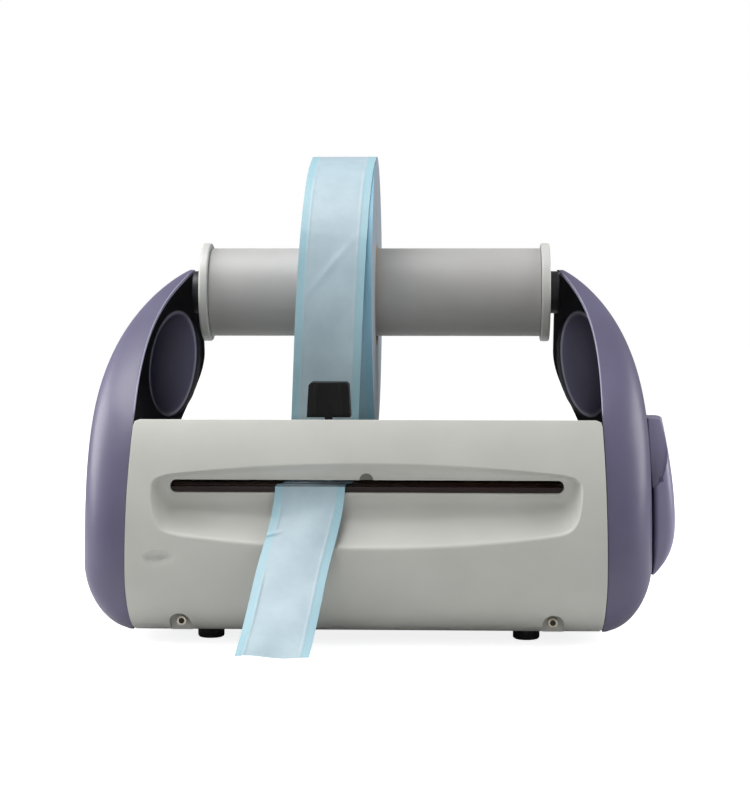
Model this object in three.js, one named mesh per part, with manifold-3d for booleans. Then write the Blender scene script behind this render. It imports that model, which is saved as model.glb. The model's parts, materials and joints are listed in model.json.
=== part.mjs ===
// A benchtop pouch sealer: a roll of pouch film hangs on a roller between two arms, runs down
// through a slit behind the front cover, between two sealing jaws, past a sliding cutter and
// out of a long slot in the scooped front cover. A lever on the right closes the jaws.
// Millimetres, +X to the machine's right as seen from the front, +Y to the back, +Z up.
import * as THREE from "three";
import { mergeVertices } from "three/addons/utils/BufferGeometryUtils.js";
import Module from "manifold-3d";

const wasm = await Module();
wasm.setup();

// Clearances and walls
const gap = 0.3; // between pieces that touch or run in each other
const seam = 0.6; // the visible joint between the front cover and a cheek
const overrun = 2; // how far a cutting shape runs past what it cuts
const wall = 3; // moulded plastic
const plateThickness = 2; // pressed steel

// Roller and reel
const rollerY = 223;
const rollerHeight = 278;
const rollerRadius = 38.5;
const rollerWall = 2;
const capRadius = 43;
const capThickness = 7.7;
const capBossLength = 8;
const capRound = 2.5;
const axleRadius = 4;
const axleInHub = 5.5;
const hubRadius = 18.5;
const hubThickness = 8.1;
const hubBossRadius = 13;
const reelX = -26.5;
const filmWidth = 55.4;
const coreRadius = 41; // inside of the cardboard core
const coreWall = 3.7;
const reelRadius = 121;
const reelClearance = 11.8; // between the reel and the deck under it
const filmThickness = 0.4; // of the film's solids, thicker than the real film
const filmLift = 0.4; // the loose turn's clearance from the reel
const looseTurnRadius = 174;
const looseTurnAngle = 35; // degrees above the horizontal where the loose turn leaves the reel
const looseTurnStart = 115;
const filmBend = 20; // radius of the film's bend into the channel
const filmEntryY = 92;
const filmEntryX = -40.5;
const filmExitX = -44.5;
const filmKerf = 2.4; // the cut between the reel's film and the finished pouch
const deckSlitWidth = 8;

// Housing
const bodyHalf = 189; // from the middle to the widest point of the front cover
const coverTaperTop = 2.6; // how much each side of the cover draws in at its top
const coverTaperBottom = 2;
const coverBottom = 10.7;
const coverHeight = 168.3;
const coverTop = coverBottom + coverHeight;
const bulgeHeight = 62; // where the cover stands furthest forward
const topSetback = 37; // the cover's top edge lies this far behind the bulge
const bottomSetback = 35;
const coverCorner = 4; // the cover's rounded top corners
const coverLip = 4; // flat top of the cover, front to back
const deckDrop = 5; // the deck lies this far below the cover's top
const reelHeight = rollerHeight + rollerRadius + gap - coreRadius; // the reel hangs on the roller
const rearDeckHeight = reelHeight - reelRadius - reelClearance;
const deckSlitMargin = 34; // from the cover's widest point to the slit's end
const deckSlitLength = 2 * (bodyHalf - deckSlitMargin);
const bodyDepth = 292;
const rearCoverJoin = 250; // the deck ends and the rear cover begins
const rearCoverRadius = 22;
const rearDraft = 3.5; // the rear wall draws in this much at its foot

// Exit scoop and slot
const filmHeight = 126.8; // mid-height of the film in its channel
const slotMargin = 33; // from the cover's widest point to the slot's end
const slotLength = 2 * (bodyHalf - slotMargin);
const slotHeight = 10;
const slotAboveFilm = 5.2; // from the film to the slot's top
const slotDepth = 24; // the slot's plane lies this far behind the bulge
const scoopSideMargin = 19.6;
const scoopLength = 2 * (bodyHalf - scoopSideMargin);
const scoopRiseMiddle = 18.2; // the mouth's upper edge above the film, in the middle
const scoopRiseEnd = 9.2;
const scoopDropMiddle = 45.8; // the mouth's lower edge below the film
const scoopDropEnd = 32.8;
const scoopEndPower = 0.4; // how squarely the scoop ends
const scoopBellyPower = 0.8;
const scoopHollowPower = 1.8; // the bowl stays deep near the slot and turns forward at its mouth
const scoopReachShare = 1.3; // the scoop's cutting shape runs this far past the mouth
const scoopMargin = 1.5; // the scoop's floor round the slot
const notchRadius = 5.5; // the half-round mark above the slot's middle
const notchDepth = 1.5;
const dimpleMargin = 27;
const dimpleX = dimpleMargin - bodyHalf;
const dimpleHeight = 73;
const dimpleLength = 24;
const dimpleRise = 11;
const dimpleDepth = 2.2;

// Cover screws
const screwMargin = 41;
const screwX = bodyHalf - screwMargin;
const screwHeight = 18.3;
const screwPocketWidth = 17;
const screwPocketFloor = 33; // the pocket's back wall, behind the bulge
const screwHeadRadius = 4;
const screwHeadLength = 4;
const screwShankRadius = 2;
const screwSocketRadius = 1.9;
const screwSocketDepth = 2;

// Cheeks and arms
const cheekWidth = 38.4; // a cheek stands this far out from the cover's widest point
const cheekHalf = bodyHalf + cheekWidth;
const cheekHem = 0.7; // a cheek reaches this far below the cover
const cheekBottom = coverBottom - cheekHem;
const cheekBulgeLow = 63.5;
const cheekBulgeHigh = 82;
const cheekFoot = 9.4; // the cheek's width at its bottom edge
const cheekFrontSetback = 2;
const cheekRearBulge = 300;
const cheekRearFoot = 268;
const cheekRearHeight = 80;
const armAboveAxle = 19.6;
const armLean = 0.00721; // how quickly the arm's front edge bends back, per mm
const armTop = rollerHeight + armAboveAxle;
const armTipInset = 28.5; // where the outer curve would end, in from the cover's widest point
const armTipX = bodyHalf - armTipInset;
const armMouthInset = 28; // where the arm's front inner edge ends
const armMouthX = bodyHalf - armMouthInset;
const armRearInset = 30.5; // the rear wall's inner edge above the machine
const armRearX = bodyHalf - armRearInset;
const rollerLength = 2 * (armMouthX - seam - hubThickness - gap - capThickness);
const armRearTip = 224;
const armRearTurn = 130; // height at which the rear wall starts to turn inwards
const armRearBlend = 95;
const armTopPower = 4; // how squarely an arm's outer side turns over its top
const armTopRoot = 1.27;
const armMouthPower = 4;
const armRoundPower = 2;
const cheekFootPower = 1.7;
const cheekCornerPower = 12; // how squarely a level section turns its corners
const cheekPostRadius = 6;
const gripInset = 2; // the leaf-shaped hand hold in the arm's rear wall
const gripX = bodyHalf - gripInset;
const gripHeight = 212;
const gripWidth = 44;
const gripLength = 104;
const gripDepth = 15;
const gripTilt = 0.17; // radians, the top leans inwards

// Sealing jaws
const jawY = 62;
const jawDepth = 12;
const jawMargin = 29; // from the cover's widest point to a jaw's end
const jawLength = 2 * (bodyHalf - jawMargin);
const jawHeight = 17.6;
const tapeThickness = 0.4;
const tableFront = 27.3;
const tableThickness = 8.3;
const tableGroove = 3; // for the cutter's blade
const padThickness = 2;
const padInset = 1;
const pressTravel = 4.887; // the press bar's stroke at full lever
const pressBarHeight = 11.5;
const pressBarMargin = 11;
const pressBarLength = 2 * (bodyHalf - pressBarMargin);
const springRadius = 4;
const springWire = 0.7;
const springTurns = 6;
const springMargin = 30.5;
const springX = bodyHalf - springMargin;
const springLug = 4; // thickness of the lugs that hold the springs

// Lever, shaft and eccentrics
const leverSwing = 35; // degrees
const eccentricity = pressTravel / THREE.MathUtils.degToRad(leverSwing);
const shaftHeight = 90;
const shaftRadius = 6;
const shaftFlat = 4.6; // from the axis to the flat that keys the eccentrics and the lever
const eccentricRadius = 17;
const eccentricThickness = 6;
const yokeClearance = 2;
const yokeWall = 4;
const yokeMargin = 19;
const yokeX = bodyHalf - yokeMargin;
const yokeThickness = 8;
const bushRadius = 9;
const bushFlange = 12;
const bushLength = 7;
const leverClearance = 1.3; // between the lever and the cheek's outline
const leverBulgeOut = 20; // the paddle's outer side, out from the cheek's widest point
const leverBulge = cheekHalf + leverBulgeOut;
const leverBottom = 54;
const leverTop = 177;
const leverBulgeHeight = 98;
const leverTopOut = 12;
const leverTopX = cheekHalf + leverTopOut;
const leverBottomOut = 8;
const leverBottomX = cheekHalf + leverBottomOut;
const leverHubWidth = 46;
const leverTopWidth = 44;
const leverBottomWidth = 22;
const leverRake = 0.42; // how far the lever leans back, per mm of height
const leverBottomY = 62;
const leverTopPower = 1.6; // how late the paddle's outer side draws in above its bulge
const leverFootPower = 2.2;
const leverRoundPower = 0.7; // how squarely a level section of the paddle turns
const leverHollowLow = 104; // the finger hollow in the paddle's upper front
const leverHollowHigh = 172;
const leverHollowWidth = 15;
const leverHollowDepth = 3.2;

// Cutter
const bladeY = 45;
const bladeThickness = 0.6;
const bladeWidth = 5.4;
const bladeAboveFilm = 1.7; // the raised blade's tip clears the film's middle by this much
const knobX = -31;
const knobTopWidth = 32;
const knobBottomWidth = 35;
const knobDepth = 22;
const knobFront = 42.5;
const knobAboveCover = 1.4;
const knobBottom = coverTop + knobAboveCover;
const knobHeight = 27.8;
const knobTravel = 6;
const knobBevel = 2;
const knobRidge = 1.6;
const ridgeLean = 1; // each ridge leans outwards by this much at its foot
const stemWidth = 6;
const carriageWidth = 34;
const carriageFront = 40;
const carriageDepth = 16.5;
const carriageBottom = 148;
const carriageHeight = 20;
const railFront = 51;
const railThickness = 3;
const railBottom = 150;
const railHeight = 15;

// Base, feet and side plates
const plateMargin = 4; // from the cover's widest point to a side plate's outer face
const plateX = bodyHalf - plateMargin;
const trayFloor = 2.5;
const trayRim = 15;
const trayBack = 287;
const footRadius = 10.8;
const footMargin = 61;
const footX = bodyHalf - footMargin;
const footFrontY = 62;
const footRearY = 262;
const footFlare = 1.2;
const plateBore = 9.3;

// Controls, supply and electronics
const ventCount = 9;
const ventWidth = 4;
const ventHeight = 40;
const ventLow = 42;
const ventPitch = 13;
const ventX = -120;
const inletMargin = 67;
const inletX = bodyHalf - inletMargin;
const inletHeight = 45;
const inletWidth = 27;
const inletRise = 20;
const inletDepth = 30;
const inletFlange = 3;
const socketWidth = 22;
const socketRise = 14;
const socketDepth = 16;
const pinWidth = 4;
const pinThickness = 2;
const pinLength = 11;
const switchPitch = 50; // from the inlet to the switch
const switchX = inletX - switchPitch;
const switchWidth = 19;
const switchRise = 13;
const switchDepth = 16;
const switchFlange = 1.8;
const flangeThickness = 2; // of the inlet's and the switch's frames
const rockerNose = 2; // half width of the rocker's inner ridge
const rockerSwing = 14;
const fusePitch = 36; // from the inlet to the fuse
const fuseX = inletX + fusePitch;
const fuseRadius = 6;
const fuseCap = 8;
const fuseLength = 26;
const dialMargin = 59;
const dialX = bodyHalf - dialMargin;
const dialY = 200;
const dialRadius = 14;
const dialHeight = 12;
const dialFlutes = 12;
const dialShaft = 3;
const dialMark = 1.6;
const fluteDepth = 0.8;
const potentiometerShare = 0.6; // of the dial's radius
const lampMargin = 27;
const lampX = bodyHalf - lampMargin;
const lampFrontY = 186;
const lampPitch = 28;
const lampRadius = 4;
const lampRise = 3;
const lampBody = 9;
const lampRim = 1.6;
const transformerX = 75;
const transformerY = 190;
const transformerLength = 62;
const transformerDepth = 50;
const transformerHeight = 50;
const boardX = -70;
const boardY = 180;
const boardLength = 110;
const boardDepth = 80;
const boardThickness = 1.6;
const boardPost = 11;

// Facets
const roundSides = 32;
const reelSides = 56;
const smallSides = 14;
const arcSteps = 7;
const postSides = 10;
const cheekLevels = 22;
const cheekPoints = 16;
const scoopLevels = 4;
const scoopPoints = 48;
const coilSides = 5;
const coilStepsPerTurn = 8;
const leverLevels = 14;
const leverPoints = 20;

// Materials
const material = (color, roughness, metalness = 0) =>
  new THREE.MeshStandardMaterial({ color, roughness, metalness });
const coverPlastic = material(0xb9b8b2, 0.45);
const cheekPlastic = material(0x8b88a4, 0.45);
const darkPlastic = material(0x2b2a33, 0.5);
const blackRubber = material(0x151515, 0.8);
const capPlastic = material(0xc9c8c6, 0.4);
const tubeFinish = material(0xb4b3b1, 0.45);
const steel = material(0xa8abae, 0.3, 1);
const aluminium = material(0xb8babc, 0.4, 1);
const film = material(0xb5d6e0, 0.25);
const cardboard = material(0xb99a6b, 0.9);
const bronze = material(0xa98352, 0.45, 1);
const brownTape = material(0x3a2620, 0.4);
const silicone = material(0xb05038, 0.7);
const greenBoard = material(0x1f5a36, 0.6);
const copperCoil = material(0xa8652e, 0.5, 0.6);
const greenLens = material(0x2f9a4a, 0.2);
const amberLens = material(0xd08a20, 0.2);

// Solids, joins and cuts
const machine = new THREE.Group();

function solid(geometry) {
  const plain = geometry.index ? geometry : geometry.clone();
  plain.deleteAttribute("normal");
  plain.deleteAttribute("uv");
  const merged = mergeVertices(plain, 1e-4);
  return new wasm.Manifold(
    new wasm.Mesh({
      numProp: 3,
      vertProperties: merged.attributes.position.array,
      triVerts: new Uint32Array(merged.index.array),
    }),
  );
}

function addPiece(name, shape, finish) {
  const data = shape.getMesh();
  const geometry = new THREE.BufferGeometry();
  geometry.setAttribute("position", new THREE.BufferAttribute(data.vertProperties, 3));
  geometry.setIndex(new THREE.BufferAttribute(data.triVerts, 1));
  geometry.computeVertexNormals();
  const mesh = new THREE.Mesh(geometry, finish);
  mesh.name = name;
  machine.add(mesh);
}

const join = (...shapes) => shapes.reduce((all, one) => all.add(one));
const cut = (body, ...tools) => tools.reduce((rest, tool) => rest.subtract(tool), body);

// An outline drawn in two axes and stretched along the third.
const layouts = {
  x: new THREE.Matrix4().set(0, 0, 1, 0, 1, 0, 0, 0, 0, 1, 0, 0, 0, 0, 0, 1),
  y: new THREE.Matrix4().set(1, 0, 0, 0, 0, 0, -1, 0, 0, 1, 0, 0, 0, 0, 0, 1),
  z: new THREE.Matrix4(),
};

function prism(axis, outline, from, to) {
  const shape = new THREE.Shape(outline.map(([a, b]) => new THREE.Vector2(a, b)));
  const geometry = new THREE.ExtrudeGeometry(shape, { depth: to - from, bevelEnabled: false });
  geometry.translate(0, 0, axis === "y" ? -to : from);
  geometry.applyMatrix4(layouts[axis]);
  return solid(geometry);
}

const rectangle = (a0, a1, b0, b1) => [[a0, b0], [a1, b0], [a1, b1], [a0, b1]];

const block = (x0, x1, y0, y1, z0, z1) => prism("z", rectangle(x0, x1, y0, y1), z0, z1);

function arc(a, b, radius, start, end, steps = arcSteps) {
  const points = [];
  for (let i = 0; i <= steps; i++) {
    const angle = THREE.MathUtils.degToRad(start + ((end - start) * i) / steps);
    points.push([a + radius * Math.cos(angle), b + radius * Math.sin(angle)]);
  }
  return points;
}

function circle(a, b, radius, sides = smallSides) {
  return arc(a, b, radius, 0, 360, sides).slice(0, sides);
}

const rod = (axis, a, b, radius, from, to, sides) =>
  prism(axis, circle(a, b, radius, sides), from, to);

// A turned piece about a line along X through (y, z); the profile lists [x, radius].
function turned(profile, y, z, sides = roundSides) {
  const points = profile.map(([x, radius]) => new THREE.Vector2(radius, x));
  const geometry = new THREE.LatheGeometry(points, sides);
  geometry.rotateZ(-Math.PI / 2);
  geometry.translate(0, y, z);
  return outward(geometry);
}

function outward(geometry) {
  geometry.deleteAttribute("normal");
  geometry.deleteAttribute("uv");
  const merged = mergeVertices(geometry, 1e-4);
  const at = merged.attributes.position;
  const index = merged.index.array;
  const corner = [new THREE.Vector3(), new THREE.Vector3(), new THREE.Vector3()];
  let volume = 0;
  const kept = [];
  for (let i = 0; i < index.length; i += 3) {
    const triangle = [index[i], index[i + 1], index[i + 2]];
    if (new Set(triangle).size < 3) continue;
    kept.push(triangle);
    triangle.forEach((v, k) => corner[k].fromBufferAttribute(at, v));
    volume += corner[0].dot(corner[1].clone().cross(corner[2]));
  }
  const turnedRight = volume > 0 ? kept : kept.map(([a, b, c]) => [a, c, b]);
  merged.setIndex(turnedRight.flat());
  return solid(merged);
}

// Rings of points with equal counts, skinned side to side and capped at both ends.
function loft(rings) {
  const count = rings[0].length;
  const index = [];
  for (let r = 0; r + 1 < rings.length; r++)
    for (let i = 0; i < count; i++) {
      const j = (i + 1) % count;
      const low = r * count;
      const high = low + count;
      index.push(low + i, low + j, high + j, low + i, high + j, high + i);
    }
  const last = (rings.length - 1) * count;
  for (let i = 1; i + 1 < count; i++) {
    index.push(0, i + 1, i);
    index.push(last, last + i, last + i + 1);
  }
  const geometry = new THREE.BufferGeometry();
  geometry.setAttribute("position", new THREE.Float32BufferAttribute(rings.flat(2), 3));
  geometry.setIndex(index);
  return outward(geometry);
}

const mirrored = (shape) => shape.mirror([1, 0, 0]);
const rounded = (share, power, root = power) => (1 - share ** power) ** (1 / root);
const clamped = THREE.MathUtils.clamp;
const mix = THREE.MathUtils.lerp;

// The front cover's side profile is two arcs that meet at the bulge.
const upperRise = coverTop - bulgeHeight;
const lowerDrop = bulgeHeight - coverBottom;
const upperRadius = (upperRise ** 2 + topSetback ** 2) / (2 * topSetback);
const lowerRadius = (lowerDrop ** 2 + bottomSetback ** 2) / (2 * bottomSetback);

function coverFace(z, inset = 0) {
  const radius = z > bulgeHeight ? upperRadius : lowerRadius;
  return radius - Math.sqrt((radius - inset) ** 2 - (z - bulgeHeight) ** 2);
}

function coverHalf(z) {
  return z > bulgeHeight
    ? bodyHalf - coverTaperTop * ((z - bulgeHeight) / upperRise) ** 2
    : bodyHalf - coverTaperBottom * ((bulgeHeight - z) / lowerDrop) ** 2;
}

function spread(from, to, steps) {
  return Array.from({ length: steps + 1 }, (_, i) => mix(from, to, i / steps));
}

function frontProfile(inset, bottom, top) {
  const low = spread(bottom, bulgeHeight, arcSteps).slice(0, arcSteps);
  const high = spread(bulgeHeight, top, arcSteps);
  return [...low, ...high].map((z) => [coverFace(z, inset), z]);
}

// A thin wall that follows an open outline: the outline, then itself set in by the wall.
function band(outline, thickness) {
  const inner = outline.map((point, i) => {
    const before = outline[Math.max(i - 1, 0)];
    const after = outline[Math.min(i + 1, outline.length - 1)];
    const first = new THREE.Vector2(point[0] - before[0], point[1] - before[1]);
    const second = new THREE.Vector2(after[0] - point[0], after[1] - point[1]);
    if (!first.lengthSq()) first.copy(second);
    if (!second.lengthSq()) second.copy(first);
    first.normalize();
    second.normalize();
    const normal = new THREE.Vector2(first.y + second.y, -(first.x + second.x)).normalize();
    const stretch = thickness / Math.max(normal.x * first.y - normal.y * first.x, 0.5);
    return [point[0] + normal.x * stretch, point[1] + normal.y * stretch];
  });
  return [...outline, ...inner.reverse()];
}

// The scoop: an ovoid mouth in the cover that narrows to the slot at its floor.
const slotTop = filmHeight + slotAboveFilm;
const slotBottom = slotTop - slotHeight;
const slotMiddle = (slotTop + slotBottom) / 2;

function scoopShape(grow) {
  const steps = scoopPoints;
  const rings = Array.from({ length: scoopLevels + 1 }, () => []);
  for (let i = 0; i < steps; i++) {
    const angle = (2 * Math.PI * (i + 0.5)) / steps;
    const along = Math.sign(Math.cos(angle)) * Math.abs(Math.cos(angle)) ** scoopEndPower;
    const across = Math.sin(angle);
    const x = along * (scoopLength / 2);
    const edge = across > 0
      ? filmHeight + mix(scoopRiseMiddle, scoopRiseEnd, along ** 2)
      : filmHeight - mix(scoopDropMiddle, scoopDropEnd, along ** 2);
    const z = mix(slotMiddle, edge, Math.abs(across) ** scoopBellyPower);
    const floor = [
      along * (slotLength / 2 + scoopMargin + grow),
      slotDepth + grow,
      slotMiddle + across * (slotHeight / 2 + scoopMargin + grow),
    ];
    const mouth = [x + along * grow, coverFace(z), z + across * grow];
    rings.forEach((ring, k) => {
      const share = scoopReachShare * (k / scoopLevels);
      const [px, , pz] = floor.map((value, n) => mix(value, mouth[n], share));
      ring.push([px, mix(floor[1], mouth[1], share ** scoopHollowPower), pz]);
    });
  }
  return loft(rings);
}

// An outline of constant height with round ends, in two axes.
function stadium(a, b, length, height, steps = arcSteps) {
  const radius = height / 2;
  const reach = length / 2 - radius;
  return [...arc(a + reach, b, radius, -90, 90, steps), ...arc(a - reach, b, radius, 90, 270, steps)];
}

function archPocket(x, grow) {
  const half = screwPocketWidth / 2 + grow;
  const spring = screwHeight - grow / 2;
  return [
    [x - half, coverBottom - overrun],
    [x + half, coverBottom - overrun],
    ...arc(x, spring, half, 0, 180, arcSteps),
  ];
}

function sideLimit() {
  const right = spread(coverBottom - overrun, coverTop - coverCorner, arcSteps)
    .map((z) => [coverHalf(Math.max(z, coverBottom)), z]);
  const corner = arc(coverHalf(coverTop) - coverCorner, coverTop - coverCorner, coverCorner, 0, 90, 5)
    .slice(1);
  const half = [...right, ...corner];
  return [...half, ...half.map(([x, z]) => [-x, z]).reverse()];
}

function buildFrontCover() {
  const back = coverLip + topSetback;
  const outerFace = frontProfile(0, coverBottom, coverTop);
  const innerTop = coverTop - wall;
  const innerFace = frontProfile(wall, coverBottom, innerTop);
  const deep = bodyHalf + overrun;
  const far = innerFace[0][0] + overrun;
  const full = prism("x", [...outerFace, [back, coverTop], [back, coverBottom]], -deep, deep);
  const hollow = prism(
    "x",
    [
      [innerFace[0][0], coverBottom - overrun],
      ...innerFace,
      [far, innerTop],
      [far, coverBottom - overrun],
    ],
    -deep - overrun,
    deep + overrun,
  );
  const sides = prism("y", sideLimit(), -overrun, back + overrun);
  const body = full.intersect(sides);
  let cover = cut(body, hollow);
  const pockets = [-screwX, screwX];
  const pocketBack = screwPocketFloor + wall;
  cover = join(cover, body.intersect(scoopShape(wall)));
  pockets.forEach((x) => {
    cover = join(cover, body.intersect(prism("y", archPocket(x, wall), -overrun, pocketBack)));
  });
  cover = cut(
    cover,
    scoopShape(0),
    prism("y", stadium(0, slotMiddle, slotLength, slotHeight), slotDepth - overrun, back + overrun),
    rod("y", 0, slotTop, notchRadius, -overrun, slotDepth + notchDepth),
  );
  pockets.forEach((x) => {
    cover = cut(
      cover,
      prism("y", archPocket(x, 0), -overrun, screwPocketFloor),
      rod("y", x, screwHeight, screwShankRadius + gap, screwPocketFloor - overrun, pocketBack + overrun),
    );
  });
  const dimple = new THREE.SphereGeometry(1, smallSides, arcSteps);
  dimple.scale(dimpleLength / 2, dimpleDepth, dimpleRise / 2);
  dimple.translate(dimpleX, coverFace(dimpleHeight), dimpleHeight);
  return cut(cover, solid(dimple));
}

addPiece("front_cover", buildFrontCover(), coverPlastic);

// Deck and rear cover
const deckTop = coverTop - deckDrop;
const deckFront = topSetback + coverLip + gap;
const knobSlitFront = deckFront + gap;
const knobSlitBack = knobFront + knobDepth / 2 - stemWidth / 2;
const deckSlope = deckTop - rearDeckHeight;
const slopeStart = filmEntryY + deckSlitWidth;
const slopeEnd = slopeStart + deckSlope;

function buildDeck() {
  const outline = [
    [deckFront, deckTop],
    [slopeStart, deckTop],
    [slopeEnd, rearDeckHeight],
    [rearCoverJoin, rearDeckHeight],
  ];
  const half = coverHalf(coverTop) - gap;
  const plate = prism("x", band(outline, wall), -half, half);
  const under = deckTop - wall - overrun;
  const knobEnd = deckSlitLength / 2 + carriageWidth / 2;
  const deckHole = (x, y, radius) =>
    rod("z", x, y, radius + gap, rearDeckHeight - wall - overrun, rearDeckHeight + overrun);
  return cut(
    plate,
    block(-knobEnd, knobEnd, deckFront - overrun, knobSlitBack, under, deckTop + overrun),
    prism(
      "z",
      stadium(0, filmEntryY, deckSlitLength, deckSlitWidth),
      under,
      deckTop + overrun,
    ),
    deckHole(dialX, dialY, dialShaft),
    deckHole(lampX, lampFrontY, lampRadius),
    deckHole(lampX, lampFrontY + lampPitch, lampRadius),
  );
}

addPiece("top_deck", buildDeck(), coverPlastic);

const rearFace = bodyDepth;
const rearInside = rearFace - wall;

function rearOutline(inset = 0) {
  return [
    ...arc(
      rearFace - rearCoverRadius,
      rearDeckHeight - rearCoverRadius,
      rearCoverRadius - inset,
      90,
      0,
    ),
    [rearFace - inset, bulgeHeight],
    [rearFace - inset - rearDraft, coverBottom],
  ];
}

function buildRearCover() {
  const outline = [[rearCoverJoin + gap, rearDeckHeight], ...rearOutline()];
  const half = coverHalf(coverTop) - gap;
  const shell = prism("x", band(outline, wall), -half, half);
  const through = [rearInside - overrun, rearFace + overrun];
  const tools = [];
  for (let i = 0; i < ventCount; i++) {
    const x = ventX + i * ventPitch;
    tools.push(block(x, x + ventWidth, ...through, ventLow, ventLow + ventHeight));
  }
  const opening = (x, width, rise) => {
    const [w, h] = [width / 2 + gap, rise / 2 + gap];
    return block(x - w, x + w, ...through, inletHeight - h, inletHeight + h);
  };
  return cut(
    shell,
    ...tools,
    opening(inletX, inletWidth, inletRise),
    opening(switchX, switchWidth, switchRise),
    rod("y", fuseX, inletHeight, fuseRadius + gap, ...through),
  );
}

addPiece("rear_cover", buildRearCover(), coverPlastic);

// Cheeks: level sections from the foot to the arm's tip, hollow and open towards the machine.
function cheekOuter(z, inset) {
  const widest = cheekHalf - inset;
  if (z < cheekBulgeLow) {
    const share = clamped((cheekBulgeLow - z) / (cheekBulgeLow - cheekBottom - inset), 0, 1);
    const foot = coverHalf(coverBottom) + cheekFoot;
    return foot + (widest - foot) * rounded(share, cheekFootPower);
  }
  if (z < cheekBulgeHigh) return widest;
  const share = clamped((z - cheekBulgeHigh) / (armTop + wall / 2 - inset - cheekBulgeHigh), 0, 1);
  return armTipX + (widest - armTipX) * rounded(share, armTopPower, armTopRoot);
}

function cheekFront(z) {
  if (z <= coverTop) return coverFace(clamped(z, coverBottom, coverTop)) + cheekFrontSetback;
  const rise = z - coverTop;
  const slope = upperRise / (upperRadius - topSetback);
  return topSetback + cheekFrontSetback + slope * rise + armLean * rise ** 2;
}

function cheekBack(z) {
  if (z < cheekRearHeight) {
    const share = (cheekRearHeight - z) / (cheekRearHeight - cheekBottom);
    return mix(cheekRearFoot, cheekRearBulge, rounded(clamped(share, 0, 1), armRoundPower));
  }
  const share = clamped((z - cheekRearHeight) / (armTop + wall / 2 - cheekRearHeight), 0, 1);
  return armRearTip + (cheekRearBulge - armRearTip) * rounded(share, armRoundPower);
}

function cheekMouth(z) {
  const edge = coverHalf(clamped(z, coverBottom, coverTop)) + seam;
  if (z <= coverTop) return edge;
  const share = (z - coverTop) / (armTop - coverTop);
  return armMouthX + (edge - armMouthX) * rounded(clamped(share, 0, 1), armMouthPower, 1);
}

const eased = (share) => share * share * (3 - 2 * share);

function cheekRearMouth(z) {
  const turn = eased(clamped((z - armRearTurn) / armRearBlend, 0, 1));
  const hub = eased(clamped((z - rollerHeight) / (hubRadius / 2) + 1, 0, 1));
  return mix(mix(bodyHalf + seam, armRearX, turn), armMouthX + seam, hub);
}

function cheekSection(z, inset, reach) {
  const lean = inset * (1 + clamped((z - coverTop) / (armTop - coverTop), 0, 1));
  const front = cheekFront(z) + lean;
  const back = cheekBack(z) - inset;
  const middle = (front + back) / 2;
  const half = (back - front) / 2;
  const outer = cheekOuter(z, inset);
  const ring = [];
  for (let i = 0; i <= cheekPoints; i++) {
    const angle = (Math.PI * i) / cheekPoints;
    const side = (1 - Math.cos(angle)) / 2;
    const mouth = mix(cheekMouth(z), cheekRearMouth(z), side) - reach;
    const bulge = rounded(Math.abs(Math.cos(angle)), cheekCornerPower, 2);
    ring.push([mouth + (outer - mouth) * bulge, middle - half * Math.cos(angle), z]);
  }
  return ring;
}

function cheekLoft(inset, reach) {
  const rings = [];
  const low = cheekBottom + inset;
  const high = armTop - inset;
  for (let i = 0; i <= cheekLevels; i++) {
    const share = (1 - Math.cos((Math.PI * i) / cheekLevels)) / 2;
    rings.push(cheekSection(mix(low, high, share), inset, reach));
  }
  return loft(rings);
}

function gripShape(grow) {
  const leaf = new THREE.SphereGeometry(1, smallSides, arcSteps);
  leaf.scale(gripWidth / 2 + grow, gripDepth + grow, gripLength / 2 + grow);
  leaf.rotateY(-gripTilt);
  const wallLean = cheekBack(gripHeight - gripLength / 2) - cheekBack(gripHeight + gripLength / 2);
  leaf.rotateX(Math.atan2(wallLean, gripLength));
  leaf.translate(gripX, cheekBack(gripHeight), gripHeight);
  return solid(leaf);
}

const platePosts = [
  [screwPocketFloor + wall + cheekPostRadius + seam, inletHeight],
  [deckFront + cheekPostRadius + wall, rearDeckHeight],
  [bodyDepth - rearCoverRadius, inletHeight],
];

const shaftY = jawY + eccentricity;
const hubOuter = rollerLength / 2 + capThickness + gap;
const hubSeat = hubOuter + hubThickness;

function buildCheek() {
  const outer = cheekLoft(0, 0);
  const shell = cut(outer, cheekLoft(wall, 2 * wall));
  const grip = outer.intersect(gripShape(wall));
  const bossInner = hubSeat + gap;
  const bossReach = bossInner + hubBossRadius;
  const boss = join(
    rod("x", rollerY, rollerHeight, hubBossRadius, bossInner, bossReach - overrun),
    rod("x", rollerY, rollerHeight, hubBossRadius, bossReach - 2 * overrun, cheekHalf)
      .intersect(outer),
  );
  let cheek = join(shell, grip, boss);
  platePosts.forEach(([y, z]) => {
    const inner = plateX + gap;
    cheek = join(
      cheek,
      rod("x", y, z, cheekPostRadius, inner, bodyHalf + overrun, postSides),
      rod("x", y, z, cheekPostRadius, bodyHalf + seam, cheekHalf, postSides).intersect(outer),
    );
  });
  return cut(cheek, gripShape(0));
}

const cheek = buildCheek();
const shaftBore = rod("x", shaftY, shaftHeight, shaftRadius + gap + seam, bodyHalf, cheekHalf + overrun);
addPiece("left_cheek", mirrored(cheek), cheekPlastic);
addPiece("right_cheek", cut(cheek, shaftBore), cheekPlastic);

// Hubs, axle, roller and caps
const axleEnd = hubOuter + axleInHub;

function buildHub() {
  const disc = rod("x", rollerY, rollerHeight, hubRadius, hubOuter, hubSeat, roundSides);
  return cut(disc, rod("x", rollerY, rollerHeight, axleRadius + gap, hubOuter - overrun, axleEnd + gap));
}

addPiece("left_hub", mirrored(buildHub()), darkPlastic);
addPiece("right_hub", buildHub(), darkPlastic);
addPiece("roller_axle", rod("x", rollerY, rollerHeight, axleRadius, -axleEnd, axleEnd), steel);

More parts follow.
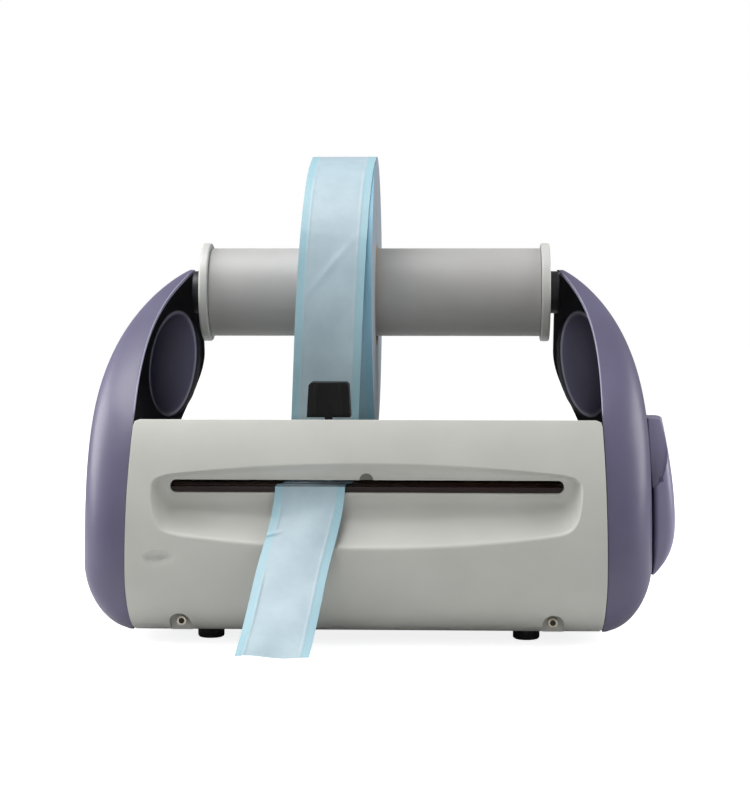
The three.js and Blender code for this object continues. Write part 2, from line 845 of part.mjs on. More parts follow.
const tubeHalf = rollerLength / 2;
const tubeInside = rollerRadius - rollerWall;
addPiece(
  "roller_tube",
  turned(
    [
      [-tubeHalf + gap, tubeInside],
      [tubeHalf - gap, tubeInside],
      [tubeHalf - gap, rollerRadius],
      [-tubeHalf + gap, rollerRadius],
      [-tubeHalf + gap, tubeInside],
    ],
    rollerY,
    rollerHeight,
  ),
  tubeFinish,
);

function buildCap() {
  const bore = axleRadius + gap;
  const inner = tubeHalf;
  const outer = tubeHalf + capThickness;
  const boss = tubeInside - gap;
  const groove = rollerRadius - wall;
  const profile = [
    [inner - capBossLength, bore],
    [inner - capBossLength, boss],
    [inner, boss],
    [inner, capRadius - capRound],
    [inner + capRound, capRadius],
    [outer - capRound, capRadius],
    [outer, capRadius - capRound],
    [outer, groove],
    [outer - wall / 2, groove - wall / 2],
    [outer - wall / 2, bore + wall],
    [outer, bore + wall],
    [outer, bore],
    [inner - capBossLength, bore],
  ];
  return turned(profile, rollerY, rollerHeight);
}

addPiece("left_roller_cap", mirrored(buildCap()), capPlastic);
addPiece("right_roller_cap", buildCap(), capPlastic);

// The reel's ring of film on its core
const reelLeft = reelX - filmWidth / 2;
const reelRight = reelX + filmWidth / 2;
const coreOuter = coreRadius + coreWall;

const ringProfile = (low, high, inner, outer) => [
  [low, inner],
  [high, inner],
  [high, outer],
  [low, outer],
  [low, inner],
];

addPiece(
  "reel_core",
  turned(ringProfile(reelLeft, reelRight, coreRadius, coreOuter), rollerY, reelHeight),
  cardboard,
);
addPiece(
  "film_reel",
  turned(ringProfile(reelLeft, reelRight, coreOuter + gap, reelRadius), rollerY, reelHeight, reelSides),
  film,
);

// A strip of film through stations of [middle x, y, z] in the order of travel.
function filmStrip(stations) {
  const rings = stations.map(([x, y, z], i) => {
    const before = stations[Math.max(i - 1, 0)];
    const after = stations[Math.min(i + 1, stations.length - 1)];
    const normal = new THREE.Vector2(after[2] - before[2], before[1] - after[1])
      .normalize()
      .multiplyScalar(filmThickness / 2);
    return [
      [x - filmWidth / 2, y + normal.x, z + normal.y],
      [x + filmWidth / 2, y + normal.x, z + normal.y],
      [x + filmWidth / 2, y - normal.x, z - normal.y],
      [x - filmWidth / 2, y - normal.x, z - normal.y],
    ];
  });
  return loft(rings);
}

// The loose outer turn leaves the reel, hangs down to the deck's slit and bends into the channel.
function leadStations() {
  const lead = reelRadius + filmLift + filmThickness;
  const along = (centreY, centreZ, radius, start, end, steps) =>
    arc(centreY, centreZ, radius, 180 - start, 180 - end, steps);
  const leave = THREE.MathUtils.degToRad(looseTurnAngle);
  const looser = looseTurnRadius - lead;
  const looseY = rollerY + looser * Math.cos(leave);
  const looseZ = reelHeight - looser * Math.sin(leave);
  const bendY = looseY - looseTurnRadius;
  const path = [
    ...along(rollerY, reelHeight, lead, looseTurnStart, looseTurnAngle, 14),
    ...along(looseY, looseZ, looseTurnRadius, looseTurnAngle, 0, 10).slice(1),
    ...arc(bendY - filmBend, filmHeight + filmBend, filmBend, 0, -90, 8),
    [bladeY + filmKerf / 2, filmHeight],
  ];
  const lengths = [0];
  for (let i = 1; i < path.length; i++)
    lengths.push(lengths[i - 1] + Math.hypot(path[i][0] - path[i - 1][0], path[i][1] - path[i - 1][1]));
  const whole = lengths[lengths.length - 1];
  const top = lengths[7];
  return path.map(([y, z], i) => {
    const share = clamped((lengths[i] - top) / (whole - top), 0, 1);
    return [mix(reelX, filmEntryX, share), y, z];
  });
}

addPiece("film_lead", filmStrip(leadStations()), film);

// The finished pouch lies in the slot, drops over its lip and curls forwards in front.
const tailDrop = 113.6; // from the channel to the pouch's free end
const tailReach = 118; // how far the free end lies in front of the slot's lip
const tailDrift = -19; // the free end's shift to the left
// How far the curve's two handles lie along the reach, the drop and the drift
const lipShares = [0.25, 0.02];
const hangShares = [0.34, 0.6, 0.4];

function tailStations() {
  const lipY = slotDepth - overrun;
  const steps = 16;
  const straight = spread(bladeY - filmKerf / 2, lipY, 3).map((y) => [filmExitX, y, filmHeight]);
  const curve = new THREE.CubicBezierCurve3(
    new THREE.Vector3(filmExitX, lipY, filmHeight),
    new THREE.Vector3(filmExitX, lipY - tailReach * lipShares[0], filmHeight - tailDrop * lipShares[1]),
    new THREE.Vector3(
      filmExitX + tailDrift * hangShares[2],
      lipY - tailReach * hangShares[0],
      filmHeight - tailDrop * hangShares[1],
    ),
    new THREE.Vector3(filmExitX + tailDrift, lipY - tailReach, filmHeight - tailDrop),
  );
  return [...straight, ...curve.getPoints(steps).slice(1).map((p) => [p.x, p.y, p.z])];
}

addPiece("film_tail", filmStrip(tailStations()), film);

// Film table, jaws and press bar
const tableTop = filmHeight - filmThickness / 2 - gap;
const jawFront = jawY - jawDepth / 2;
const jawBack = jawY + jawDepth / 2;
const plateInner = plateX - plateThickness;
const betweenPlates = plateInner - gap;

addPiece(
  "film_table",
  cut(
    block(-betweenPlates, betweenPlates, tableFront, jawFront - gap, tableTop - tableThickness, tableTop),
    block(
      -bodyHalf,
      bodyHalf,
      bladeY - tableGroove / 2,
      bladeY + tableGroove / 2,
      tableTop - tableThickness / 2,
      tableTop + overrun,
    ),
  ),
  darkPlastic,
);
const jawTop = tableTop - tapeThickness - gap;
const springBack = jawBack + springRadius + springWire + seam;
const springSeat = jawTop - jawHeight / 2;

function springLugs(low, high) {
  const half = springRadius + springWire;
  return [-springX, springX].map((x) =>
    block(x - half, x + half, jawBack - overrun, springBack + half, low, high),
  );
}

addPiece(
  "lower_jaw",
  join(
    block(-jawLength / 2, jawLength / 2, jawFront, jawBack, jawTop - jawHeight, jawTop),
    ...springLugs(springSeat - springLug, springSeat),
  ),
  aluminium,
);
addPiece(
  "release_tape",
  block(-jawLength / 2, jawLength / 2, jawFront, jawBack, jawTop + gap, jawTop + gap + tapeThickness),
  brownTape,
);

const padBottom = filmHeight + filmThickness / 2 + gap + pressTravel;
const padTop = padBottom + padThickness;
const barBottom = padTop + gap;
addPiece(
  "silicone_pad",
  block(-jawLength / 2, jawLength / 2, jawFront + padInset, jawBack - padInset, padBottom, padTop),
  silicone,
);
addPiece(
  "press_bar",
  join(
    block(
      -pressBarLength / 2,
      pressBarLength / 2,
      jawFront,
      jawBack,
      barBottom,
      barBottom + pressBarHeight,
    ),
    ...springLugs(barBottom, barBottom + springLug),
  ),
  aluminium,
);

// Lever shaft with its eccentrics in the press bar's yokes
const yokeBore = eccentricRadius + yokeClearance;
const yokeOuter = yokeBore + yokeWall;

function buildYoke() {
  const from = yokeX - yokeThickness / 2;
  const to = yokeX + yokeThickness / 2;
  const leg = rectangle(jawY - yokeWall, jawY + yokeWall, shaftHeight + yokeBore, barBottom - gap);
  const ring = join(
    rod("x", jawY, shaftHeight, yokeOuter, from, to, roundSides / 2),
    prism("x", leg, from, to),
  );
  return cut(ring, rod("x", jawY, shaftHeight, yokeBore, from - overrun, to + overrun, roundSides / 2));
}

addPiece("left_pull_yoke", mirrored(buildYoke()), steel);
addPiece("right_pull_yoke", buildYoke(), steel);

function keyedCircle(clearance) {
  const radius = shaftRadius + clearance;
  const flat = shaftFlat + clearance;
  const half = THREE.MathUtils.radToDeg(Math.acos(flat / radius));
  return arc(shaftY, shaftHeight, radius, half, 360 - half, smallSides);
}

function buildEccentric() {
  const from = yokeX - eccentricThickness / 2;
  const to = yokeX + eccentricThickness / 2;
  const disc = rod("x", jawY, shaftHeight, eccentricRadius, from, to, roundSides / 2);
  return cut(disc, prism("x", keyedCircle(gap), from - overrun, to + overrun));
}

addPiece("left_eccentric", mirrored(buildEccentric()), steel);
addPiece("right_eccentric", buildEccentric(), steel);

const leverOuterAt = (z) => {
  const up = z > leverBulgeHeight;
  const share = up
    ? (z - leverBulgeHeight) / (leverTop - leverBulgeHeight)
    : (leverBulgeHeight - z) / (leverBulgeHeight - leverBottom);
  const end = up ? leverTopX : leverBottomX;
  return leverBulge - (leverBulge - end) * share ** (up ? leverTopPower : leverFootPower);
};
const leverInnerAt = (z) => cheekOuter(z, 0) + leverClearance;
const shaftEnd = leverOuterAt(shaftHeight) - wall - gap;
const shaftStart = -(plateX + bushLength);
addPiece(
  "lever_shaft",
  cut(
    prism("x", keyedCircle(0), shaftStart, shaftEnd),
    rod("x", shaftY, shaftHeight, screwShankRadius + gap, shaftEnd - 3 * wall, shaftEnd + overrun),
  ),
  steel,
);

function buildBush() {
  const bore = shaftRadius + gap;
  const inner = plateInner - gap;
  const flange = plateX + gap;
  const profile = [
    [inner, bore],
    [plateX + bushLength, bore],
    [plateX + bushLength, bushRadius],
    [flange + plateThickness, bushRadius],
    [flange + plateThickness, bushFlange],
    [flange, bushFlange],
    [flange, bushRadius],
    [inner, bushRadius],
    [inner, bore],
  ];
  return turned(profile, shaftY, shaftHeight, roundSides / 2);
}

addPiece("left_shaft_bush", mirrored(buildBush()), bronze);
addPiece("right_shaft_bush", buildBush(), bronze);

// A level of the paddle: the middle of its section, front to back, and its width.
function leverLevel(z) {
  const up = z > shaftHeight;
  const share = up
    ? (z - shaftHeight) / (leverTop - shaftHeight)
    : (shaftHeight - z) / (shaftHeight - leverBottom);
  const width = mix(leverHubWidth, up ? leverTopWidth : leverBottomWidth, share ** 2);
  const rake = up ? leverRake * (z - shaftHeight) * share : 0;
  return { middle: up ? shaftY + rake : mix(shaftY, leverBottomY, share ** 2), width };
}

function leverHollow() {
  const length = leverHollowHigh - leverHollowLow;
  const height = (leverHollowLow + leverHollowHigh) / 2;
  const front = [leverHollowLow, leverHollowHigh].map((z) => {
    const { middle, width } = leverLevel(z);
    return middle - width / 2;
  });
  const hollow = new THREE.SphereGeometry(1, smallSides, arcSteps);
  hollow.scale(leverHollowWidth / 2, leverHollowDepth, length / 2);
  hollow.rotateX(-Math.atan2(front[1] - front[0], length));
  hollow.translate(
    (leverInnerAt(height) + leverOuterAt(height)) / 2,
    (front[0] + front[1]) / 2,
    height,
  );
  return solid(hollow);
}

// The lever: a paddle that bows outwards, lofted level by level.
function buildLever() {
  const rings = [];
  const [levels, points] = [leverLevels, leverPoints];
  for (let i = 0; i <= levels; i++) {
    const z = mix(leverBottom, leverTop, (1 - Math.cos((Math.PI * i) / levels)) / 2);
    const { middle, width } = leverLevel(z);
    const outer = leverOuterAt(z);
    const inner = leverInnerAt(z);
    const thick = (outer - inner) / 2;
    const ring = [];
    for (let k = 0; k < points; k++) {
      const angle = (2 * Math.PI * k) / points;
      const across = Math.sign(Math.cos(angle)) * Math.abs(Math.cos(angle)) ** leverRoundPower;
      const along = Math.sign(Math.sin(angle)) * Math.abs(Math.sin(angle)) ** leverRoundPower;
      ring.push([inner + thick + thick * across, middle + (width / 2) * along, z]);
    }
    rings.push(ring);
  }
  return cut(
    loft(rings),
    leverHollow(),
    prism("x", keyedCircle(gap), cheekHalf - overrun, shaftEnd + gap),
    rod("x", shaftY, shaftHeight, screwShankRadius + gap, cheekHalf, leverBulge + overrun),
    rod(
      "x",
      shaftY,
      shaftHeight,
      screwHeadRadius + gap,
      leverOuterAt(shaftHeight) - wall / 2,
      leverBulge + overrun,
    ),
  );
}

addPiece("lever", buildLever(), cheekPlastic);

function capScrew(axis, a, b, seat, direction, shank) {
  const order = (from, to) => (from < to ? [from, to] : [to, from]);
  const headEnd = seat + direction * screwHeadLength;
  return cut(
    join(
      rod(axis, a, b, screwHeadRadius, ...order(seat, headEnd)),
      rod(axis, a, b, screwShankRadius, ...order(seat + (direction * overrun) / 2, seat - direction * shank)),
    ),
    rod(
      axis,
      a,
      b,
      screwSocketRadius,
      ...order(headEnd - direction * screwSocketDepth, headEnd + direction * overrun),
      6,
    ),
  );
}

addPiece(
  "lever_screw",
  capScrew("x", shaftY, shaftHeight, leverOuterAt(shaftHeight) - wall / 2 + gap, 1, 2 * wall),
  steel,
);
const trayFront = deckFront;
const trayRimBack = trayFront + trayFloor;
const coverScrewLength = trayRimBack + overrun - screwPocketFloor;
const coverScrewSeat = screwPocketFloor - gap;
addPiece(
  "left_cover_screw",
  capScrew("y", -screwX, screwHeight, coverScrewSeat, -1, coverScrewLength),
  steel,
);
addPiece(
  "right_cover_screw",
  capScrew("y", screwX, screwHeight, coverScrewSeat, -1, coverScrewLength),
  steel,
);

// Return springs between the lugs of the lower jaw and of the press bar

function coil(x, y, low, high, radius, wire, turns) {
  const steps = turns * coilStepsPerTurn;
  const rings = [];
  for (let i = 0; i <= steps; i++) {
    const angle = (2 * Math.PI * i) / coilStepsPerTurn;
    const z = mix(low + wire, high - wire, i / steps);
    const ring = [];
    for (let k = 0; k < coilSides; k++) {
      const turn = (2 * Math.PI * k) / coilSides;
      const reach = radius + wire * Math.cos(turn);
      ring.push([
        x + reach * Math.cos(angle),
        y + reach * Math.sin(angle),
        z + wire * Math.sin(turn),
      ]);
    }
    rings.push(ring);
  }
  return loft(rings);
}

const springTop = barBottom - gap;
addPiece(
  "left_return_spring",
  coil(-springX, springBack, springSeat + gap, springTop, springRadius, springWire, springTurns),
  steel,
);
addPiece(
  "right_return_spring",
  coil(springX, springBack, springSeat + gap, springTop, springRadius, springWire, springTurns),
  steel,
);

// Cutter: a rail between the side plates, a carriage on it and a sprung knob with the blade
addPiece(
  "cutter_rail",
  block(
    -betweenPlates,
    betweenPlates,
    railFront,
    railFront + railThickness,
    railBottom,
    railBottom + railHeight,
  ),
  steel,
);
const stemLeft = knobX - stemWidth / 2;
const stemRight = knobX + stemWidth / 2;
const stemFront = bladeY - stemWidth / 2;
const stemBack = bladeY + stemWidth / 2;
const carriageTop = carriageBottom + carriageHeight;

function buildCarriage() {
  const left = knobX - carriageWidth / 2;
  const right = knobX + carriageWidth / 2;
  const body = block(
    left,
    right,
    carriageFront,
    carriageFront + carriageDepth,
    carriageBottom,
    carriageTop,
  );
  const groove = block(
    left - overrun,
    right + overrun,
    railFront - gap,
    railFront + railThickness + gap,
    carriageBottom - overrun,
    railBottom + railHeight + gap,
  );
  const guide = block(
    stemLeft - gap,
    stemRight + gap,
    stemFront - gap,
    stemBack + gap,
    carriageBottom - overrun,
    carriageTop + overrun,
  );
  return cut(body, groove, guide);
}

addPiece("cutter_carriage", buildCarriage(), darkPlastic);

const knobTop = knobBottom + knobHeight;
const stemBottom = carriageBottom + knobTravel;

function buildKnob() {
  const low = knobBottomWidth / 2;
  const high = knobTopWidth / 2;
  const outline = [
    [knobX - low, knobBottom],
    [knobX + low, knobBottom],
    [knobX + high, knobTop - knobBevel],
    [knobX + high - knobBevel, knobTop],
    [knobX - high + knobBevel, knobTop],
    [knobX - high, knobTop - knobBevel],
  ];
  const body = prism("y", outline, knobFront, knobFront + knobDepth);
  const stem = block(stemLeft, stemRight, stemFront, stemBack, stemBottom, knobBottom + overrun);
  const ridges = [-1, 1].map((side) => {
    const x = knobX + (side * knobTopWidth) / 3;
    return prism(
      "y",
      [
        [x - knobRidge, knobBottom + knobBevel],
        [x + knobRidge, knobBottom + knobBevel],
        [x + knobRidge - side * ridgeLean, knobTop - knobBevel],
        [x - knobRidge - side * ridgeLean, knobTop - knobBevel],
      ],
      knobFront - knobRidge / 2,
      knobFront + overrun,
    );
  });
  return join(body, stem, ...ridges);
}

addPiece("cutter_knob", buildKnob(), darkPlastic);

const bladeTip = filmHeight + bladeAboveFilm;
addPiece(
  "cutter_blade",
  prism(
    "y",
    [
      [knobX, bladeTip],
      [knobX + bladeWidth / 2, bladeTip + bladeWidth / 2],
      [knobX + bladeWidth / 2, stemBottom - gap],
      [knobX - bladeWidth / 2, stemBottom - gap],
      [knobX - bladeWidth / 2, bladeTip + bladeWidth / 2],
    ],
    bladeY - bladeThickness / 2,
    bladeY + bladeThickness / 2,
  ),
  steel,
);

// Side plates, tray and feet
function buildSidePlate() {
  const inset = wall + gap;
  const front = frontProfile(inset, coverBottom, coverTop - wall - gap - overrun);
  const topZ = deckTop - wall - gap;
  const kept = front.filter(([, z]) => z < topZ - overrun);
  const faceTop = [coverFace(topZ, inset), topZ];
  const lowDeck = rearDeckHeight - wall - gap;
  const outline = [
    ...kept,
    faceTop,
    [slopeStart - wall / 2 - gap, topZ],
    [slopeEnd - wall / 2 - gap, lowDeck],
    [rearCoverJoin, lowDeck],
    ...rearOutline(inset),
  ];
  const plate = prism("x", outline, plateInner, plateX);
  return cut(plate, rod("x", shaftY, shaftHeight, plateBore, plateInner - overrun, plateX + overrun));
}

addPiece("left_side_plate", mirrored(buildSidePlate()), steel);
addPiece("right_side_plate", buildSidePlate(), steel);

const floorTop = coverBottom + trayFloor;

function buildTray() {
  const half = betweenPlates;
  const rimTop = coverBottom + trayRim;
  const posts = [];
  [-1, 1].forEach((x) =>
    [-1, 1].forEach((y) =>
      posts.push(
        rod(
          "z",
          boardX + x * (boardLength / 2 - wall - overrun),
          boardY + y * (boardDepth / 2 - wall - overrun),
          wall,
          coverBottom + overrun / 2,
          floorTop + boardPost,
        ),
      ),
    ),
  );
  const tray = join(
    block(-half, half, trayFront, trayBack - trayFloor, coverBottom, floorTop),
    block(-half, half, trayFront, trayRimBack, coverBottom, rimTop),
    ...posts,
  );
  return cut(
    tray,
    ...[-screwX, screwX].map((x) =>
      rod("y", x, screwHeight, screwShankRadius + gap, trayFront - overrun, trayRimBack + overrun),
    ),
  );
}

addPiece("base_tray", buildTray(), steel);

const footTop = coverBottom - gap;
[
  ["front_left_foot", -footX, footFrontY],
  ["front_right_foot", footX, footFrontY],
  ["rear_left_foot", -footX, footRearY],
  ["rear_right_foot", footX, footRearY],
].forEach(([name, x, y]) => {
  const rings = [
    [0, footRadius - footFlare],
    [footFlare, footRadius],
    [footTop, footRadius],
  ].map(([z, radius]) => circle(x, y, radius, smallSides).map(([a, b]) => [a, b, z]));
  addPiece(name, loft(rings), blackRubber);
});

// Supply, controls and electronics
function socketFrame(x, width, rise, flange, depth) {
  const back = rearFace + gap;
  return join(
    block(
      x - width / 2,
      x + width / 2,
      rearFace - depth,
      back + flangeThickness / 2,
      inletHeight - rise / 2,
      inletHeight + rise / 2,
    ),
    block(
      x - width / 2 - flange,
      x + width / 2 + flange,
      back,
      back + flangeThickness,
      inletHeight - rise / 2 - flange,
      inletHeight + rise / 2 + flange,
    ),
  );
}

function buildInlet() {
  const mouth = rearFace + gap + flangeThickness;
  const floor = mouth - socketDepth;
  const cavity = block(
    inletX - socketWidth / 2,
    inletX + socketWidth / 2,
    floor,
    mouth + overrun,
    inletHeight - socketRise / 2,
    inletHeight + socketRise / 2,
  );
  const pins = [-1, 0, 1].map((i) => {
    const x = inletX + (i * socketWidth) / 3;
    const z = inletHeight + (i === 0 ? socketRise / 5 : -socketRise / 8);
    return block(
      x - pinThickness / 2,
      x + pinThickness / 2,
      floor - overrun,
      floor + pinLength,
      z - pinWidth / 2,
      z + pinWidth / 2,
    );
  });
  const body = socketFrame(inletX, inletWidth, inletRise, inletFlange, inletDepth);
  return join(cut(body, cavity), ...pins);
}

addPiece("power_inlet", buildInlet(), darkPlastic);

const rockerHalf = switchWidth / 2 - switchFlange;
const rockerRise = switchRise / 2 - switchFlange;

function buildSwitchFrame() {
  const back = rearFace + gap + flangeThickness;
  return cut(
    socketFrame(switchX, switchWidth, switchRise, switchFlange, switchDepth),
    block(
      switchX - rockerHalf,
      switchX + rockerHalf,
      back - switchDepth / 2,
      back + overrun,
      inletHeight - rockerRise,
      inletHeight + rockerRise,
    ),
  );
}

addPiece("switch_frame", buildSwitchFrame(), darkPlastic);

// The rocker tips about a line along Z; its face is a shallow V.
const rockerAxisY = rearFace + gap + flangeThickness - switchFlange;

function buildRocker() {
  const half = rockerHalf - 2 * gap;
  const face = rearFace + gap + flangeThickness;
  const tip = Math.tan(THREE.MathUtils.degToRad(rockerSwing)) * half;
  const outline = [
    [switchX - half, face - switchFlange],
    [switchX - rockerNose, rockerAxisY - rockerNose],
    [switchX + rockerNose, rockerAxisY - rockerNose],
    [switchX + half, face - switchFlange + tip / 2],
    [switchX + half, face + tip / 2],
    [switchX, face - switchFlange / 2],
    [switchX - half, face],
  ];
  const rise = rockerRise - gap;
  return prism("z", outline, inletHeight - rise, inletHeight + rise);
}

addPiece("power_rocker", buildRocker(), blackRubber);

addPiece(
  "fuse_holder",
  join(
    rod("y", fuseX, inletHeight, fuseRadius, rearFace - fuseLength, rearFace + flangeThickness),
    rod("y", fuseX, inletHeight, fuseCap, rearFace + gap, rearFace + gap + 2 * flangeThickness),
  ),
  darkPlastic,
);

function buildDial() {
  const low = rearDeckHeight + gap;
  const outline = [];
  const steps = dialFlutes * 4;
  for (let i = 0; i < steps; i++) {
    const angle = (2 * Math.PI * i) / steps;
    const radius = dialRadius - (i % 4 < 2 ? 0 : fluteDepth);
    outline.push([dialX + radius * Math.cos(angle), dialY + radius * Math.sin(angle)]);
  }
  const shaftLow = rearDeckHeight - wall - 2 * gap;
  return cut(
    join(
      prism("z", outline, low, low + dialHeight),
      rod("z", dialX, dialY, dialShaft, shaftLow, low + overrun),
    ),
    block(
      dialX - dialMark / 2,
      dialX + dialMark / 2,
      dialY + dialRadius / 3,
      dialY + dialRadius + overrun,
      low + dialHeight - fluteDepth,
      low + dialHeight + overrun,
    ),
  );
}

addPiece("temperature_dial", buildDial(), darkPlastic);
const potTop = rearDeckHeight - wall - 3 * gap;
const potHalf = dialRadius * potentiometerShare;
addPiece(
  "dial_potentiometer",
  block(dialX - potHalf, dialX + potHalf, dialY - potHalf, dialY + potHalf, potTop - potHalf, potTop),
  greenBoard,
);

function buildLamp(y) {
  const rim = rearDeckHeight + gap;
  const rings = [
    [rim - gap - wall - lampBody, lampRadius],
    [rim, lampRadius],
    [rim, lampRadius + lampRim],
    [rim + lampRise / 3, lampRadius + lampRim],
    [rim + lampRise / 3, lampRadius],
    [rim + lampRise, lampRadius / 2],
  ].map(([z, radius]) => circle(lampX, y, radius, smallSides).map(([a, b]) => [a, b, z]));
  return loft(rings);
}

addPiece("power_lamp", buildLamp(lampFrontY), greenLens);
addPiece("heat_lamp", buildLamp(lampFrontY + lampPitch), amberLens);

const standing = floorTop + gap;
const coreBar = transformerHeight / 5;
addPiece(
  "transformer",
  join(
    block(
      transformerX - transformerLength / 2,
      transformerX + transformerLength / 2,
      transformerY - transformerDepth / 4,
      transformerY + transformerDepth / 4,
      standing,
      standing + transformerHeight,
    ),
    prism(
      "x",
      stadium(transformerY, standing + transformerHeight / 2, transformerDepth, 3 * coreBar),
      transformerX - transformerLength / 4,
      transformerX + transformerLength / 4,
    ),
  ),
  copperCoil,
);

function buildBoard() {
  const low = floorTop + boardPost + gap;
  const top = low + boardThickness;
  const part = (x, y, length, depth, height) =>
    block(
      boardX + x - length / 2,
      boardX + x + length / 2,
      boardY + y - depth / 2,
      boardY + y + depth / 2,
      top - boardThickness / 2,
      top + height,
    );
  const [eighthX, eighthY] = [boardLength / 8, boardDepth / 8];
  return join(
    block(
      boardX - boardLength / 2,
      boardX + boardLength / 2,
      boardY - boardDepth / 2,
      boardY + boardDepth / 2,
      low,
      top,
    ),
    part(-2 * eighthX, 2 * eighthY, 2 * eighthX, eighthY, 2 * eighthY),
    part(eighthX, -eighthY, eighthX, eighthX, 2 * eighthX),
    rod("z", boardX + 2 * eighthX, boardY + 2 * eighthY, eighthY, top - boardThickness / 2, low + boardDepth / 4),
  );
}

addPiece("control_board", buildBoard(), greenBoard);

// The origin is the middle of the machine's box, on the surface that it stands on.
const whole = new THREE.Box3().setFromObject(machine);
const centre = whole.getCenter(new THREE.Vector3());
machine.position.set(-centre.x, -centre.y, -whole.min.z);

export default machine;
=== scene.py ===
# %% [markdown]
# # A dental pouch sealer
# This lesson dresses a benchtop sealer for sterilisation pouches. Its working parts come in as a
# fixed frame, at their real size and place. Each visible piece gets its finish, and the moulded
# shells, the film and the turned pieces are modelled finely over the frame. The file is cleared
# first, so every run starts the same way.

# %% Load the frame
import json
import math
from contextlib import contextmanager

import bpy
import numpy as np
from mathutils import Color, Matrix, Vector

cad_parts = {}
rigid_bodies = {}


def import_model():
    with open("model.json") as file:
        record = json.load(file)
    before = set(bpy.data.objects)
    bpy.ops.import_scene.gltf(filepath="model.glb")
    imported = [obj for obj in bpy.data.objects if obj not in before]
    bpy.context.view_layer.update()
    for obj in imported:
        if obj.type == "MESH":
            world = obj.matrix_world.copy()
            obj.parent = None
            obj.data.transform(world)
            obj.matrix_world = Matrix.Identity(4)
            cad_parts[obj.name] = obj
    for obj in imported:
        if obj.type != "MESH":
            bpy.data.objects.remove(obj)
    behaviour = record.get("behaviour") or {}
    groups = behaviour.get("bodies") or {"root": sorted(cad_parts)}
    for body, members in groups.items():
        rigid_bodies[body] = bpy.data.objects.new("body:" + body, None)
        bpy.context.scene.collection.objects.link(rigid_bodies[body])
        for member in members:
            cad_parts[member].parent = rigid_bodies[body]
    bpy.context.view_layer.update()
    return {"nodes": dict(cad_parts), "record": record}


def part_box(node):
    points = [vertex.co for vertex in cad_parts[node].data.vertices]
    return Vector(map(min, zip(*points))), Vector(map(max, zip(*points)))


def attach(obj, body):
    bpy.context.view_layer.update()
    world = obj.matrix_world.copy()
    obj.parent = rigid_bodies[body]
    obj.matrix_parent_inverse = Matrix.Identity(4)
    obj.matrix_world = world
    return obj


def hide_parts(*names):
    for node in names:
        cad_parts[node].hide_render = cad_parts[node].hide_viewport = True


for leftover in list(bpy.data.objects):
    bpy.data.objects.remove(leftover)
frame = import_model()
nodes = frame["nodes"]

# %% [markdown]
# A real measuring point makes later sizes easy to read. All places count in millimetres from the
# middle of the front cover: X to the machine's right, Y back from the cover's most forward point,
# Z up from the table. Two functions turn them into metres in the frame.

# %% Millimetres on the machine
MM = 0.001
SIDES = ((-1, "left"), (1, "right"))
cover_low, cover_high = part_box("front_cover")
middle_x = (cover_low.x + cover_high.x) / 2
bulge_y = cover_low.y


def at(x, y, z):
    return Vector((middle_x + x * MM, bulge_y + y * MM, z * MM))


def in_frame(points):
    return np.asarray(points, float) * MM + np.array([middle_x, bulge_y, 0.0])


print("cover: middle x", round(middle_x, 4), "bulge y", round(bulge_y, 4))

# %% [markdown]
# The photograph is a plain product view, from 1.6 m away, at the roller's height and looking
# slightly down. A long lens keeps the housing's sides nearly parallel.

# %% Camera
camera_turn, camera_dip = math.radians(2.21), math.radians(3.684)
camera_data = bpy.data.cameras.new("camera")
camera_data.lens = 94.03
camera_data.sensor_width = 36
camera_data.clip_end = 50
camera = bpy.data.objects.new("camera", camera_data)
camera.location = at(70.3, -1619, 301.5)
camera.rotation_euler = (math.pi / 2 - camera_dip, 0, camera_turn)
bpy.context.scene.collection.objects.link(camera)
bpy.context.scene.camera = camera
bpy.context.scene.view_settings.view_transform = "Standard"
print("camera at", [round(length, 3) for length in camera.location])

# %% [markdown]
# ## Colours and materials
# Colours are picked as sRGB hex values, as they look on a screen. The renderer counts in linear
# light, so one function converts them. Linking shader nodes by hand would take a page for each
# finish, so add makes a node from its kind, what feeds its sockets, and its settings. A node that
# feeds a socket gives its first output, and stops are the places and colours of a ramp.

# %% Colour and node helpers
MIX_FIRST, MIX_SECOND, MIX_RESULT = 6, 7, 2


def colour(hex_value):
    shown = Color([int(hex_value[start:start + 2], 16) / 255 for start in (1, 3, 5)])
    return (*shown.from_srgb_to_scene_linear(), 1.0)


def add(tree, kind, feeds=None, stops=(), **settings):
    node = tree.nodes.new(kind)
    for name, value in settings.items():
        setattr(node, name, value)
    for socket, value in (feeds or {}).items():
        if isinstance(value, bpy.types.Node):
            value = value.outputs[0]
        if isinstance(value, bpy.types.NodeSocket):
            tree.links.new(value, node.inputs[socket])
        else:
            node.inputs[socket].default_value = value
    if stops:
        marks = node.color_ramp.elements
        while len(marks) < len(stops):
            marks.new(0.5)
        for mark, (position, hex_value) in zip(marks, stops):
            mark.position, mark.color = position, colour(hex_value)
    return node


def new_material(name):
    """An empty material and its tree."""
    made = bpy.data.materials.new(name)
    made.use_nodes = True
    made.node_tree.nodes.clear()
    return made, made.node_tree


def finish_with(tree, shader):
    add(tree, "ShaderNodeOutputMaterial", {"Surface": shader})


print("white is", colour("#ffffff"))

# %% [markdown]
# ## Moulded plastic
# The housing is injection-moulded ABS from a lightly eroded mould, so it is satin: highlights
# spread softly, and a very fine grain breaks them up. Large mouldings also vary a little in tone
# where the plastic flowed and where hands have polished it. A photographed texture would carry its
# own light, so noises on the piece's own place do it, and one recipe covers every plastic piece: a
# base colour, a tone that it drifts towards, the roughness and the grain. The real grain is about
# 0.1 mm and would vanish here, so it is drawn at 0.6 mm. Extruded PVC is even and duller, nylon is
# dark with a soft shine, rubber is black and quite matt, and the phenolic table smooth and brown.

# %% Moulded plastic recipe
GRAIN_SIZE, GRAIN_DEPTH = 0.6, 0.3
DRIFT_SIZE, RUB_SIZE = 55, 16
GLOSS_SPREAD = 0.05
SOFT_COAT = 0.3


